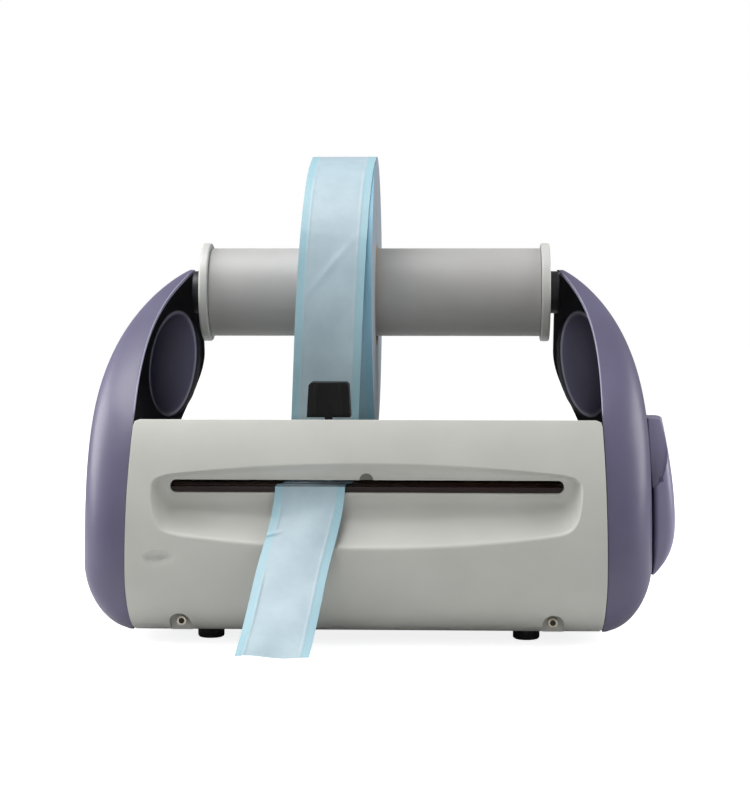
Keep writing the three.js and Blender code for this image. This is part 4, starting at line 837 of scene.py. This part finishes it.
def press_egg(points, middle, axes, size, soft):
    """Push points that stand beyond the egg's inner side (along -axes[1]) onto it."""
    local = (points - middle) @ axes.T / size
    room = 1 - local[:, 0] ** 2 - local[:, 2] ** 2
    bottom = -np.sqrt(np.clip(room, 0, None)) * size[1]
    depth = local[:, 1] * size[1]
    pressed = -soft_max(-depth, -bottom, soft)
    local[:, 1] = np.where((room > 0) & (depth > bottom - soft), pressed, depth) / size[1]
    return (local * size) @ axes + middle


print("the hold leans with axes", grip_axes().round(2).tolist())

# %% [markdown]
# Inside, the moulding is unpolished, and its colour there is painted light: dark all over as
# painted shade, with the leaf painted lighter as if lit and a pale painted highlight for its
# outline. The rim is painted pale round the arm's mouth as a highlight, and dark below it as shade
# at the seam. Separate pieces for these would need glue lines. One shader reads how far a point
# lies from the leaf's middle, and another reads the height.

# %% Painted shade and highlights of the cheek's inside and rim
# Painted light inside the arm: the leaf lighter as if lit, a pale painted highlight round it, and
# painted shade beyond it.
LEAF_PAINTED_LIGHT = [(0.0, "#88849f"), (0.86, "#787491"), (0.925, "#c0bdd2"), (0.96, "#1a1823")]
RIM_HIGHLIGHT_START = 8


def grip_distance(tree, place):
    """How far a point lies from the leaf's middle, counted so that its outline is at 1."""
    split = add(tree, "ShaderNodeSeparateXYZ", {"Vector": place})
    offset = add(tree, "ShaderNodeMath", {0: split, 1: middle_x}, operation="SUBTRACT")
    aside = add(tree, "ShaderNodeMath", {0: offset}, operation="ABSOLUTE")
    feeds = {
        "Vector": add(tree, "ShaderNodeCombineXYZ", {"X": aside, "Z": split.outputs["Z"]}),
        "Location": (GRIP_X * MM, 0, GRIP_HEIGHT * MM),
        "Rotation": (0, -GRIP_TILT, 0),
        "Scale": (GRIP_SIZE[0] * MM, 1, GRIP_SIZE[2] * MM),
    }
    leaf = add(tree, "ShaderNodeMapping", feeds, vector_type="TEXTURE")
    return add(tree, "ShaderNodeVectorMath", {0: leaf}, operation="LENGTH").outputs["Value"]


def matt(tree, place, tone, low, high, ior=1.5):
    grains = add(tree, "ShaderNodeTexNoise", clouds_of(GRAIN_SIZE, place))
    gloss = add(tree, "ShaderNodeMapRange", {"Value": grains, "To Min": low, "To Max": high})
    feeds = {"Base Color": tone, "Roughness": gloss, "IOR": ior}
    finish_with(tree, add(tree, "ShaderNodeBsdfPrincipled", feeds))


inside_shade_and_leaf_light, tree = new_material("cheek_inside_painted_shade_and_leaf_highlight")
place = add(tree, "ShaderNodeTexCoord").outputs["Object"]
leaf_painted_light = add(tree, "ShaderNodeValToRGB", {"Fac": grip_distance(tree, place)}, LEAF_PAINTED_LIGHT)
matt(tree, place, leaf_painted_light, 0.55, 0.7, ior=1.4)
rim_painted_light, tree = new_material("cheek_rim_painted_highlight_and_shade")
place = add(tree, "ShaderNodeTexCoord").outputs["Object"]
height = add(tree, "ShaderNodeSeparateXYZ", {"Vector": place}).outputs["Z"]
# The rim is painted dark below the cover's top, as shade at the seam, and pale above it, as a
# painted highlight round the arm's mouth.
start, end = COVER_TOP * MM, (COVER_TOP + RIM_HIGHLIGHT_START) * MM
polish_and_highlight = add(tree, "ShaderNodeMapRange", {"Value": height, "From Min": start, "From Max": end})
tones = {0: polish_and_highlight, MIX_FIRST: colour("#23212c"), MIX_SECOND: colour("#a3a0b7")}
rim_painted_light_tone = add(tree, "ShaderNodeMix", tones, data_type="RGBA").outputs[MIX_RESULT]
matt(tree, place, rim_painted_light_tone, 0.4, 0.55)
print("leaf", 2 * GRIP_SIZE[0], "by", 2 * GRIP_SIZE[2], "mm")

# %% [markdown]
# The skin of a cheek stacks the sections and closes itself at the foot and the tip, where the last
# rows draw in. Solidify makes the wall and gives its inside and rim their own materials, which
# carry the painted shade and highlights. At the thin tip a few inner points would poke through the
# top, so they are folded back.

# %% Lay both cheeks
CHEEK_COLUMNS, CHEEK_ROWS, CLOSING_ROWS = 190, 170, 5
END_CROWDING = 0.6


def cheek_row(row):
    """The level section of one row, drawn in where the shell closes, and its height."""
    body = clamped((row - CLOSING_ROWS) / (CHEEK_ROWS - 2 * CLOSING_ROWS))
    crowded = mix(body, (1 - math.cos(math.pi * body)) / 2, END_CROWDING)
    z = mix(CHEEK_LOW, CHEEK_TOP, crowded)
    level = cheek_level(z, CHEEK_COLUMNS + 1)
    closing = min(row, CHEEK_ROWS - row, CLOSING_ROWS) / CLOSING_ROWS
    edge = np.interp(level[:, 1], level[[0, -1], 1], level[[0, -1], 0])
    level[:, 0] = mix(edge, level[:, 0], closing)
    return np.column_stack([level, np.full(len(level), z)])


def cheek_skin(side):
    rows = np.array([cheek_row(row) for row in range(CHEEK_ROWS + 1)])
    grip_middle = np.array([GRIP_X, float(cheek_back(GRIP_HEIGHT)), GRIP_HEIGHT])

    def place(u, v):
        row, column = np.rint(v * CHEEK_ROWS).astype(int), np.rint(u * CHEEK_COLUMNS).astype(int)
        points = press_egg(rows[row, column], grip_middle, grip_axes(), GRIP_SIZE, GRIP_SOFT)
        return points * (side, 1, 1)

    return place


wall_finishes = {"use_even_offset": False, "material_offset": 1, "material_offset_rim": 2}
for side, name in SIDES:
    shell = name + "_cheek_shell"
    cheek = skin(shell, CHEEK_COLUMNS, CHEEK_ROWS, cheek_skin(side), True, side < 0)
    for finish in (cheek_abs, inside_shade_and_leaf_light, rim_painted_light):
        cheek.data.materials.append(finish)
    thicken(cheek, WALL, -1, **wall_finishes)
    tip = at(0, 0, CHEEK_TOP).z
    for point in cheek.data.vertices:
        point.co.z = tip - abs(tip - point.co.z)
    bevel(cheek, 0.8, 2, 60)
    settle(cheek, name + "_cheek", None, smooth=42)

# %% [markdown]
# A fine bead runs up the front edge of each arm's mouth and draws the light line that parts the
# arm's outside from its hollow. Its pale colour is the rim's painted highlight, and the hollow's
# dark is painted shade. A curve with a round bevel would do, but as a skin it follows the cheek's
# own formulas.

# %% Mouth bead
BEAD_RADIUS, BEAD_OUT, BEAD_BACK = 0.6, 0.3, 0.5
BEAD_START, BEAD_END = COVER_TOP + 3, CHEEK_TOP - 4


def bead_skin(side):
    def place(u, v):
        z = mix(BEAD_START, BEAD_END, v)
        turn = 2 * np.pi * u
        x = cheek_mouth(z) + BEAD_OUT + BEAD_RADIUS * np.cos(turn)
        y = cheek_front(z) + BEAD_BACK + BEAD_RADIUS * np.sin(turn)
        return np.stack([side * x, y, z], 1)

    return place


for side, name in SIDES:
    bead = skin(name + "_cheek_bead", 12, 80, bead_skin(side), True, side < 0)
    # The bead's pale colour is the rim's painted highlight.
    settle(bead, name + "_cheek", rim_painted_light, replaces=False)

# %% [markdown]
# ## Turned shapes
# The roller, its caps, the reel and the screws are round. The Screw modifier could turn them, but a
# skin gives exact control over the count of points. An outline of (along, out) points is turned
# about an axis, and its corners are rounded first, as no real edge is sharp.

# %% Turning
ROOM = 2.2


def filleted(corners, radius, steps=4):
    points = []
    for i, corner in enumerate(corners):
        here = np.array(corner, float)
        before = np.array(corners[i - 1], float) - here
        after = np.array(corners[(i + 1) % len(corners)], float) - here
        reach = min(radius, np.hypot(*before) / ROOM, np.hypot(*after) / ROOM)
        start = here + before / np.hypot(*before) * reach
        end = here + after / np.hypot(*after) * reach
        for t in np.linspace(0, 1, steps + 1):
            points.append((1 - t) ** 2 * start + 2 * t * (1 - t) * here + t * t * end)
    return np.array(points)


def turned(name, outline, centre, columns, along_y=False):
    """Turn a closed outline about an axis along X, or along Y, through centre."""
    closed = np.vstack([outline, outline[:1]])
    rows = len(closed) - 1

    def place(u, v):
        along, out = closed[np.rint(v * rows).astype(int)].T
        a, b = out * np.cos(2 * np.pi * u), out * np.sin(2 * np.pi * u)
        if along_y:
            return np.stack([centre[0] + a, along, centre[1] + b], 1)
        return np.stack([along, centre[0] + a, centre[1] + b], 1)

    piece = skin(name, columns, rows, place, joined=True)
    with edit_mode(piece):
        bpy.ops.mesh.normals_make_consistent(inside=False)
    return piece


print("a rounded square has", len(filleted([(0, 1), (0, 2), (1, 2), (1, 1)], 0.1)), "points")

# %% [markdown]
# ## The roller
# A plain grey tube turns on the axle between two light end caps. Each cap is a dish with a rolled
# rim and a plug that sits in the tube. Turning an outline gives both a true circle.

# %% Tube and caps
TUBE_RADIUS, TUBE_HALF, TUBE_WALL = 38.5, 144.0, 2.0
CAP_RADIUS, CAP_INNER, CAP_OUTER, CAP_BORE = 43.0, 144.3, 152.0, 4.3
PLUG_END, PLUG_RADIUS = CAP_INNER - 8, TUBE_RADIUS - 2.3
DISH_RADIUS, DISH_DEPTH, DISH_SLOPE, BOSS = TUBE_RADIUS - 2, 1.5, 1.5, 3
RIM_ROUND, SMALL_ROUND, ROUND_STEPS = 1.8, 0.4, 6
tube_inside = TUBE_RADIUS - TUBE_WALL
tube_corners = [
    (-TUBE_HALF, tube_inside), (-TUBE_HALF, TUBE_RADIUS),
    (TUBE_HALF, TUBE_RADIUS), (TUBE_HALF, tube_inside),
]
tube = turned("roller_tube_turned", filleted(tube_corners, 0.5), ROLLER, 160)
settle(tube, "roller_tube", tube_pvc)
dish, boss = CAP_OUTER - DISH_DEPTH, CAP_BORE + BOSS
cap_corners = [
    (PLUG_END, CAP_BORE), (PLUG_END, PLUG_RADIUS), (CAP_INNER, PLUG_RADIUS),
    (CAP_INNER, CAP_RADIUS), (CAP_OUTER, CAP_RADIUS), (CAP_OUTER, DISH_RADIUS),
    (dish, DISH_RADIUS - DISH_SLOPE), (dish, boss), (CAP_OUTER, boss), (CAP_OUTER, CAP_BORE),
]
small = filleted(cap_corners, SMALL_ROUND, ROUND_STEPS)
cap_outline = filleted(cap_corners, RIM_ROUND, ROUND_STEPS)
on_rim = np.repeat([out == CAP_RADIUS for _, out in cap_corners], ROUND_STEPS + 1)
cap_outline = np.where(on_rim[:, None], cap_outline, small)
for side, name in SIDES:
    cap = turned(name + "_roller_cap_turned", cap_outline * (side, 1), ROLLER, 128)
    settle(cap, name + "_roller_cap", cap_abs)

# %% [markdown]
# ## The film reel
# Some two hundred metres of film on a card core. Its rim is the top layer with the two teal bands.
# Its flanks are thousands of film edges, never quite flush. A bump texture vanishes at a low
# angle, so small steps are cut into the outline and catch the light as fine rings.

# %% Reel
REEL = (223.0, 275.8)
REEL_LOW, REEL_HIGH = -54.2, 1.2
CORE_RADII, WOUND_RADII = (41.0, 44.7), (45.0, 119.6)
TURN_STEP, FLANK_ROWS, RIM_FADE = 0.35, 60, 2
SLOW_RING, RING, FAST_RING = 0.53, 1.7, 4.1


def flank(side_x, inward):
    radii = np.linspace(*WOUND_RADII, FLANK_ROWS)
    ripple = np.sin(radii * RING) * np.sin(radii * SLOW_RING) + 0.6 * np.sin(radii * FAST_RING)
    step = TURN_STEP * (0.5 + 0.3 * ripple) * clamped((WOUND_RADII[1] - radii) / RIM_FADE)
    return np.stack([side_x + inward * np.abs(step), radii], 1)


wound_outline = np.vstack([flank(REEL_LOW, 1), flank(REEL_HIGH, -1)[::-1]])
wound = turned("wound_film", wound_outline, REEL, 192)
wound.data.materials.clear()
wound.data.materials.append(reel_film_painted_shade)
wound.data.materials.append(film_edges)
for face in wound.data.polygons:
    face.material_index = int(abs(face.normal.x) > 0.5)
settle(wound, "film_reel", None, smooth=50)
core_corners = [
    (REEL_LOW, CORE_RADII[0]), (REEL_LOW, CORE_RADII[1]),
    (REEL_HIGH, CORE_RADII[1]), (REEL_HIGH, CORE_RADII[0]),
]
core = turned("card_core", filleted(core_corners, 0.3), REEL, 128)
settle(core, "reel_core", core_card)

# %% [markdown]
# ## Loose film
# A loose film is a sheet that follows a path. Cloth physics would let it fall, but the photograph
# fixes where both strips hang, so each gets its path, and small waves and creases lift it off that
# path. A crease is a row of hills across or along the film.

# %% Film sheets
FILM_GAUGE = 0.2
FILM_COLUMNS = 72
HALF = FILM_WIDTH / 2
SEAL = HALF - BAND_WIDTH


def film_path(stations, count):
    """Even steps along a path of [x, y, z] stations, and its whole length."""
    stations = np.array(stations, float)
    run = np.concatenate([[0], np.cumsum(np.linalg.norm(np.diff(stations, axis=0), axis=1))])
    want = np.linspace(0, run[-1], count)
    return np.stack([np.interp(want, run, line) for line in stations.T], 1), run[-1]


def fade(values, start, length):
    return eased(clamped((values - start) / length))


def hill(values, middle, width):
    return np.exp(-(((values - middle) / width) ** 2))


def crease(run, across, height, place, width, slant):
    return height * hill(run + slant * across, place, width)


def waves(run, across, height, run_length, across_length, start=0.0):
    return height * np.sin(run / run_length + across / across_length + start)


def film_sheet(name, path, bulge):
    """A film along path: bulge(run, across) lifts it off the path, both in millimetres."""
    rows = len(path) - 1
    forward = np.gradient(path, axis=0)
    lift = np.stack([np.zeros(rows + 1), -forward[:, 2], forward[:, 1]], 1)
    lift /= np.linalg.norm(lift, axis=1)[:, None]
    length = np.linalg.norm(np.diff(path, axis=0), axis=1).sum()

    def place(u, v):
        row = np.rint(v * rows).astype(int)
        across = (u - 0.5) * FILM_WIDTH
        points = path[row] + lift[row] * bulge(v * length, across)[:, None]
        points[:, 0] += across
        return points

    return skin(name, FILM_COLUMNS, rows, place, uv_size=(FILM_WIDTH * MM, length * MM))


def settle_film(piece, node, length):
    thicken(piece, FILM_GAUGE, 0)
    settle(piece, node, sheet_film, smooth=60)
    print(piece.name, "is", round(length, 1), "mm long when flat")


print("seals at", round(SEAL, 1), "mm from the middle")

# %% [markdown]
# The outermost turn of the reel has come loose. It hangs in a long curve down to the slit behind
# the cover and bends forward between the jaws. Three arcs that meet smoothly give that path. It
# drifts to the left on its way, and a soft crease crosses it where it was unwound.

# %% The loose turn
LEAD_RADIUS, LOOSE_RADIUS, BEND_RADIUS = 120.4, 174.0, 20.0
LEAD_START, LOOSE_TURN, DRIFT_TURN = 65.0, 145.0, 40
LEAD_FROM_X, LEAD_TO_X, CUT_Y = -26.5, -40.5, 46.2
LEAD_ROWS = 420
SLANT, SLANT_RUN = 0.74, 217
FREE_FROM, FREE_TO, FREE_FADE = 165, 430, 60


def arc_points(middle, radius, first, last, count):
    turns = np.radians(np.linspace(first, last, count))
    return middle + radius * np.stack([np.cos(turns), np.sin(turns)], 1)


out = np.array([math.cos(math.radians(LOOSE_TURN)), math.sin(math.radians(LOOSE_TURN))])
loose_middle = np.array(REEL) - (LOOSE_RADIUS - LEAD_RADIUS) * out
bend_middle = (loose_middle[0] - LOOSE_RADIUS - BEND_RADIUS, FILM_HEIGHT + BEND_RADIUS)
arcs = [
    arc_points(REEL, LEAD_RADIUS, LEAD_START, LOOSE_TURN, 240),
    arc_points(loose_middle, LOOSE_RADIUS, LOOSE_TURN, 180, 120)[1:],
    arc_points(bend_middle, BEND_RADIUS, 0, -90, 60),
]
lead_side = np.vstack([*arcs, [(CUT_Y, FILM_HEIGHT)]])
run = np.cumsum(np.linalg.norm(np.diff(lead_side, axis=0, prepend=lead_side[:1]), axis=1))
drift_start = LEAD_RADIUS * math.radians(DRIFT_TURN)
drift = clamped((run - drift_start) / (run[-1] - drift_start))
lead_stations = np.column_stack([mix(LEAD_FROM_X, LEAD_TO_X, drift), lead_side])
lead_path, lead_length = film_path(lead_stations, LEAD_ROWS + 1)


def lead_bulge(run, across):
    free = fade(run, FREE_FROM, FREE_FADE) * fade(-run, -FREE_TO, FREE_FADE)
    creases = 0.45 * hill(across + (run - SLANT_RUN) * SLANT, 0, 4) * hill(run, 222, 24)
    creases += crease(run, across, 0.25, 190, 6, -0.15) + crease(run, across, 0.2, 120, 9, 0.2)
    roll = 0.9 * (across / HALF) ** 2 + waves(run, across, 0.35, 17, 9)
    seal = 0.18 * hill(np.abs(across), SEAL, 0.8)
    return -(0.25 + creases + seal) - free * roll


film_lead = film_sheet("loose_film_turn", lead_path, lead_bulge)
settle_film(film_lead, "film_lead", lead_length)

# %% [markdown]
# ## The finished pouch
# The end of the film hangs out of the slot. It slides flat off the table, drops over the scoop and
# curls forward, which one Bezier curve draws well. One edge has a small pinch, the fold along the
# left seal stands up, and the free end waves a little, as cut film does.

# %% Hanging film
TAIL_ROWS = 260
TAIL_START = (-44.5, 43.8, FILM_HEIGHT)
TAIL_HANDLES = [(-44.5, 23, FILM_HEIGHT), (-44.5, 23, 113), (-52.1, -16, 60), (-63.5, -96, 13.2)]
SWAY, SWAY_FROM, SWAY_FADE, BACK_SHARE, BACK_FROM, BACK_FADE = 3.2, 30, 70, 0.55, 110, 78
PINCH_RUN, PEAK_RUN, FOLD_RUN, END_RUN, END_LENGTH = 56, 45, 92, 120, 69
share = np.linspace(0, 1, 200)[:, None]
curl = sum(
    weight * (1 - share) ** (3 - power) * share**power * np.array(handle)
    for power, (weight, handle) in enumerate(zip((1, 3, 3, 1), TAIL_HANDLES))
)
tail_path, tail_length = film_path(np.vstack([[TAIL_START], curl]), TAIL_ROWS + 1)
tail_run = np.linspace(0, tail_length, TAIL_ROWS + 1)
sway = SWAY * fade(tail_run, SWAY_FROM, SWAY_FADE)
tail_path[:, 0] -= sway * (1 - BACK_SHARE * clamped((tail_run - BACK_FROM) / BACK_FADE))


def tail_bulge(run, across):
    pinch = crease(run, across, 0.6, PINCH_RUN, 1.5, 0.25) * clamped((-across - 14) / 8)
    fold = 0.5 * hill(across, -SEAL - 0.3, 0.9) * clamped((run - FOLD_RUN) / 20)
    peak = 0.5 * hill(across, -SEAL - 0.5, 1.0) * hill(run, PEAK_RUN, 14)
    seal = 0.2 * hill(across, SEAL, 0.9)
    cup = 1.3 * (across / HALF) ** 2
    end = waves(0, across, 1.3, 1, 8.5, 0.9) * clamped((run - END_RUN) / END_LENGTH) ** 2
    soft = waves(run, across, 0.35, 15, 11) + crease(run, across, 0.3, 118, 9, -0.3)
    return clamped((run - 26) / 20) * (cup + end + soft - pinch - fold - peak - seal)


film_tail = film_sheet("hanging_film", tail_path, tail_bulge)
settle_film(film_tail, "film_tail", tail_length)

# %% [markdown]
# ## The lever
# The paddle that closes the jaws hugs the right cheek and bows outwards. Level sections, squarish
# with soft corners, run up it, as with the cheeks. Its upper front has a shallow finger hollow,
# pressed in as the hand hold was, and a round pocket takes the screw.

# %% Lever
SHAFT = (70.0, 90.0)
LEVER_LOW, LEVER_TOP, LEVER_BULGE, LEVER_GAP = 54.0, 177.0, 98.0, 1.3
BULGE_X, TOP_X, BOTTOM_X, TOP_POWER, BOTTOM_POWER = 247.4, 239.4, 230.4, 1.6, 2.8
HUB_WIDTH, TOP_WIDTH, LOW_WIDTH, RAKE, LOW_Y = 46, 44, 22, 0.42, 62
LEVER_ROUND, INNER_ROUND, END_SHARE = 0.7, 0.35, 0.06
HOLLOW_SPAN, HOLLOW_HEIGHT, HOLLOW_OUT = (104.0, 172.0), 165.0, 3
HOLLOW_SIZE, HOLLOW_SOFT = np.array([13.0, 4.5, 46.0]), 0.8
LEVER_COLUMNS, LEVER_ROWS = 176, 220
SCREW_POCKET = 9.0


def lever_level(z):
    up = z > SHAFT[1]
    share = (z - SHAFT[1]) / np.where(up, LEVER_TOP - SHAFT[1], LEVER_LOW - SHAFT[1])
    width = mix(HUB_WIDTH, np.where(up, TOP_WIDTH, LOW_WIDTH), share**2)
    upper = SHAFT[0] + RAKE * (z - SHAFT[1]) * share
    return np.where(up, upper, mix(SHAFT[0], LOW_Y, share**2)), width


def lever_outer(z):
    high = clamped((z - LEVER_BULGE) / (LEVER_TOP - LEVER_BULGE))
    low = clamped((LEVER_BULGE - z) / (LEVER_BULGE - LEVER_LOW))
    upper, lower = mix(BULGE_X, TOP_X, high**TOP_POWER), mix(BULGE_X, BOTTOM_X, low**BOTTOM_POWER)
    return np.where(z > LEVER_BULGE, upper, lower)


def lever_skin(u, v):
    body = clamped((v - END_SHARE) / (1 - 2 * END_SHARE))
    z = mix(LEVER_LOW, LEVER_TOP, (1 - np.cos(np.pi * body)) / 2)
    end = clamped(v / END_SHARE) * clamped((1 - v) / END_SHARE)
    middle, width = lever_level(z)
    outer, inner = lever_outer(z), cheek_outer(z) + LEVER_GAP
    side, front = np.cos(2 * np.pi * u), np.sin(2 * np.pi * u)
    corner = np.where(side < 0, INNER_ROUND, LEVER_ROUND)
    across = np.sign(side) * np.abs(side) ** corner
    along = np.sign(front) * np.abs(front) ** corner
    x = (inner + outer) / 2 + (outer - inner) / 2 * across * end
    return press_hollow(np.stack([x, middle + width / 2 * along * end, z], 1))


def press_hollow(points):
    fronts = [float(lever_level(z)[0] - lever_level(z)[1] / 2) for z in HOLLOW_SPAN]
    lean = math.atan2(fronts[1] - fronts[0], HOLLOW_SPAN[1] - HOLLOW_SPAN[0])
    sine, cosine = math.sin(lean), math.cos(lean)
    axes = np.array([(1, 0, 0), (0, -cosine, sine), (0, sine, cosine)])
    front = np.interp(HOLLOW_HEIGHT, HOLLOW_SPAN, fronts)
    centre = (float(cheek_outer(HOLLOW_HEIGHT)) + HOLLOW_OUT, front, HOLLOW_HEIGHT)
    return press_egg(points, np.array(centre), axes, HOLLOW_SIZE, HOLLOW_SOFT)


lever = skin("lever_paddle", LEVER_COLUMNS, LEVER_ROWS, lever_skin, True)
bevel(lever, 1.6, 3, 50)
face_x = float(lever_outer(SHAFT[1]))
cut_away(lever, cutter_solid("rod", (face_x, *SHAFT), [SCREW_POCKET] * 3, (0, quarter, 0)))
# Its lighter violet is painted light, for the light the lever catches.
settle(lever, "lever", lever_abs_painted_light, smooth=40)

# %% [markdown]
# ## Everything else
# The other frame pieces already have their true shape, but as loose triangles with knife-sharp
# edges. Modelling each anew would risk their fit. So each gets a copy, merged into one skin, with
# its edges bevelled by a size that suits it, as real mouldings and turned parts have.

# %% Rounded copies
FACET_WELD, FLAT_ANGLE = 0.002, 0.6
USUAL_EDGE = 0.35
edge_sizes = {
    ("cutter_knob",): 1.2,
    ("power_rocker", "rear_cover", "foot", "hub"): 0.8,
    ("temperature_dial",): 0.6,
    ("top_deck", "lamp"): 0.5,
    ("silicone_pad",): 0.2,
    ("return_spring", "release_tape", "cutter_blade", "control_board"): 0.0,
}
for name in sorted(set(nodes) - dressed - {"lever_screw"}):
    source = nodes[name].data
    piece = bpy.data.objects.new(name + "_rounded", source.copy())
    bpy.context.scene.collection.objects.link(piece)
    with edit_mode(piece):
        bpy.ops.mesh.remove_doubles(threshold=FACET_WELD * MM)
        bpy.ops.mesh.dissolve_limited(angle_limit=math.radians(FLAT_ANGLE))
    width = next((size for ends, size in edge_sizes.items() if name.endswith(ends)), USUAL_EDGE)
    if width:
        bevel(piece, width, 2, 32)
    settle(piece, name, source.materials[0], smooth=32)

# %% [markdown]
# ## Screws
# The lever's screw sits in the pocket of its paddle, flush with the curved face: a pan head with a
# socket, turned in one piece with its shank. The cover screws have deep sockets that no light
# reaches. Cut pits would still show grey, so each gets a thin dark disc just inside its head:
# painted shade for the socket.

# %% Screws
HEAD_SINK, HEAD_HEIGHT, HEAD_RADIUS, HEAD_FLAT, HEAD_ROUND = 1.0, 3, 4.1, 3.5, 0.5
SHANK_RADIUS, SHANK_END = 2.4, 6.3
SOCKET_WIDE, SOCKET_DEEP = 2.0, 1.8
DISC_RADIUS, DISC_PROUD, DISC_SUNK = 2.3, 0.12, 0.4
screw_outline = [
    (-SHANK_END, 0.0), (-SHANK_END, SHANK_RADIUS), (-HEAD_HEIGHT, SHANK_RADIUS),
    (-HEAD_HEIGHT, HEAD_RADIUS), (-HEAD_ROUND, HEAD_RADIUS), (0, HEAD_FLAT),
    (0, SOCKET_WIDE), (-SOCKET_DEEP, SOCKET_WIDE), (-SOCKET_DEEP, 0.0),
]
screw_outline = np.array(screw_outline) + (face_x - HEAD_SINK, 0)
flush_screw = turned("lever_screw_turned", screw_outline, SHAFT, 64)
settle(flush_screw, "lever_screw", screw_steel)
for side, name in SIDES:
    head = (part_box(name + "_cover_screw")[0].y - bulge_y) / MM
    front, back = head - DISC_PROUD, head + DISC_SUNK
    disc = np.array([(front, 0), (front, DISC_RADIUS), (back, DISC_RADIUS), (back, 0)])
    socket = turned(name + "_socket_shade_disc", disc, (side * POCKET_X, SCREW_HEIGHT), 48, True)
    settle(socket, name + "_cover_screw", socket_painted_shade, replaces=False)

# %% [markdown]
# ## Stage
# The photograph has a pure white ground. A bright floor would light the machine from below and
# wash it out. So the floor and the world look white only to rays straight from the camera. To all
# others they are a soft grey, which keeps the shadows under the machine.

# %% Floor and world
FLOOR_LIFT, FLOOR_HALF = 0.85, 6.0
AMBIENT = 0.26
WHITE = (1, 1, 1, 1)


def seen_directly(tree):
    """1 for rays from the camera, straight or through clear plastic, and 0 for the rest."""
    path = add(tree, "ShaderNodeLightPath").outputs
    rays = {0: path["Is Camera Ray"], 1: path["Is Transmission Ray"]}
    return add(tree, "ShaderNodeMath", rays, operation="MAXIMUM")


def two_faced(tree, hidden, shown):
    return add(tree, "ShaderNodeMixShader", {0: seen_directly(tree), 1: hidden, 2: shown})


bpy.ops.mesh.primitive_plane_add(size=2 * FLOOR_HALF, location=(0, 0, 0))
floor = bpy.context.object
floor.name = "floor"
floor_white, tree = new_material("pale_floor")
dull = add(tree, "ShaderNodeBsdfDiffuse", {"Color": colour("#dcdcdc")})
lift = add(tree, "ShaderNodeEmission", {"Color": WHITE, "Strength": FLOOR_LIFT})
lit = add(tree, "ShaderNodeAddShader", {0: dull, 1: lift})
finish_with(tree, two_faced(tree, dull, lit))
floor.data.materials.append(floor_white)

world = bpy.data.worlds.new("studio")
bpy.context.scene.world = world
world.use_nodes = True
sky = world.node_tree
sky.nodes.clear()
ambient = add(sky, "ShaderNodeBackground", {"Color": WHITE, "Strength": AMBIENT})
white = add(sky, "ShaderNodeBackground", {"Color": WHITE, "Strength": 1.0})
add(sky, "ShaderNodeOutputWorld", {"Surface": two_faced(sky, ambient, white)})
print("floor", 2 * FLOOR_HALF, "m wide, ambient light", AMBIENT)

# %% [markdown]
# Product pictures are lit by large boxes of cloth, whose light wraps round a form. One stands
# nearly above and draws the bright top edges. Two strong ones at the sides model the cheeks, and a
# faint one in front keeps the scoop from going black. Small lamps would leave hard shadows.

# %% Lamps
def soft_lamp(name, place, size, watts):
    data = bpy.data.lights.new(name, "AREA")
    data.shape = "RECTANGLE"
    data.size, data.size_y = size
    data.energy = watts
    lamp = bpy.data.objects.new(name, data)
    lamp.location = place
    lamp.rotation_euler = (at(0, 120, 150) - Vector(place)).to_track_quat("-Z", "Y").to_euler()
    bpy.context.scene.collection.objects.link(lamp)


soft_lamp("top_box", (-0.5, -0.2, 1.7), (1.2, 0.9), 19)
soft_lamp("front_box", (-0.3, -2.2, 1.1), (1.4, 1.0), 2.5)
soft_lamp("left_box", (-1.5, 0.1, 0.9), (1.0, 1.2), 22)
soft_lamp("right_box", (1.5, 0.1, 0.9), (1.0, 1.2), 16)
print(len(bpy.data.lights), "lamps")
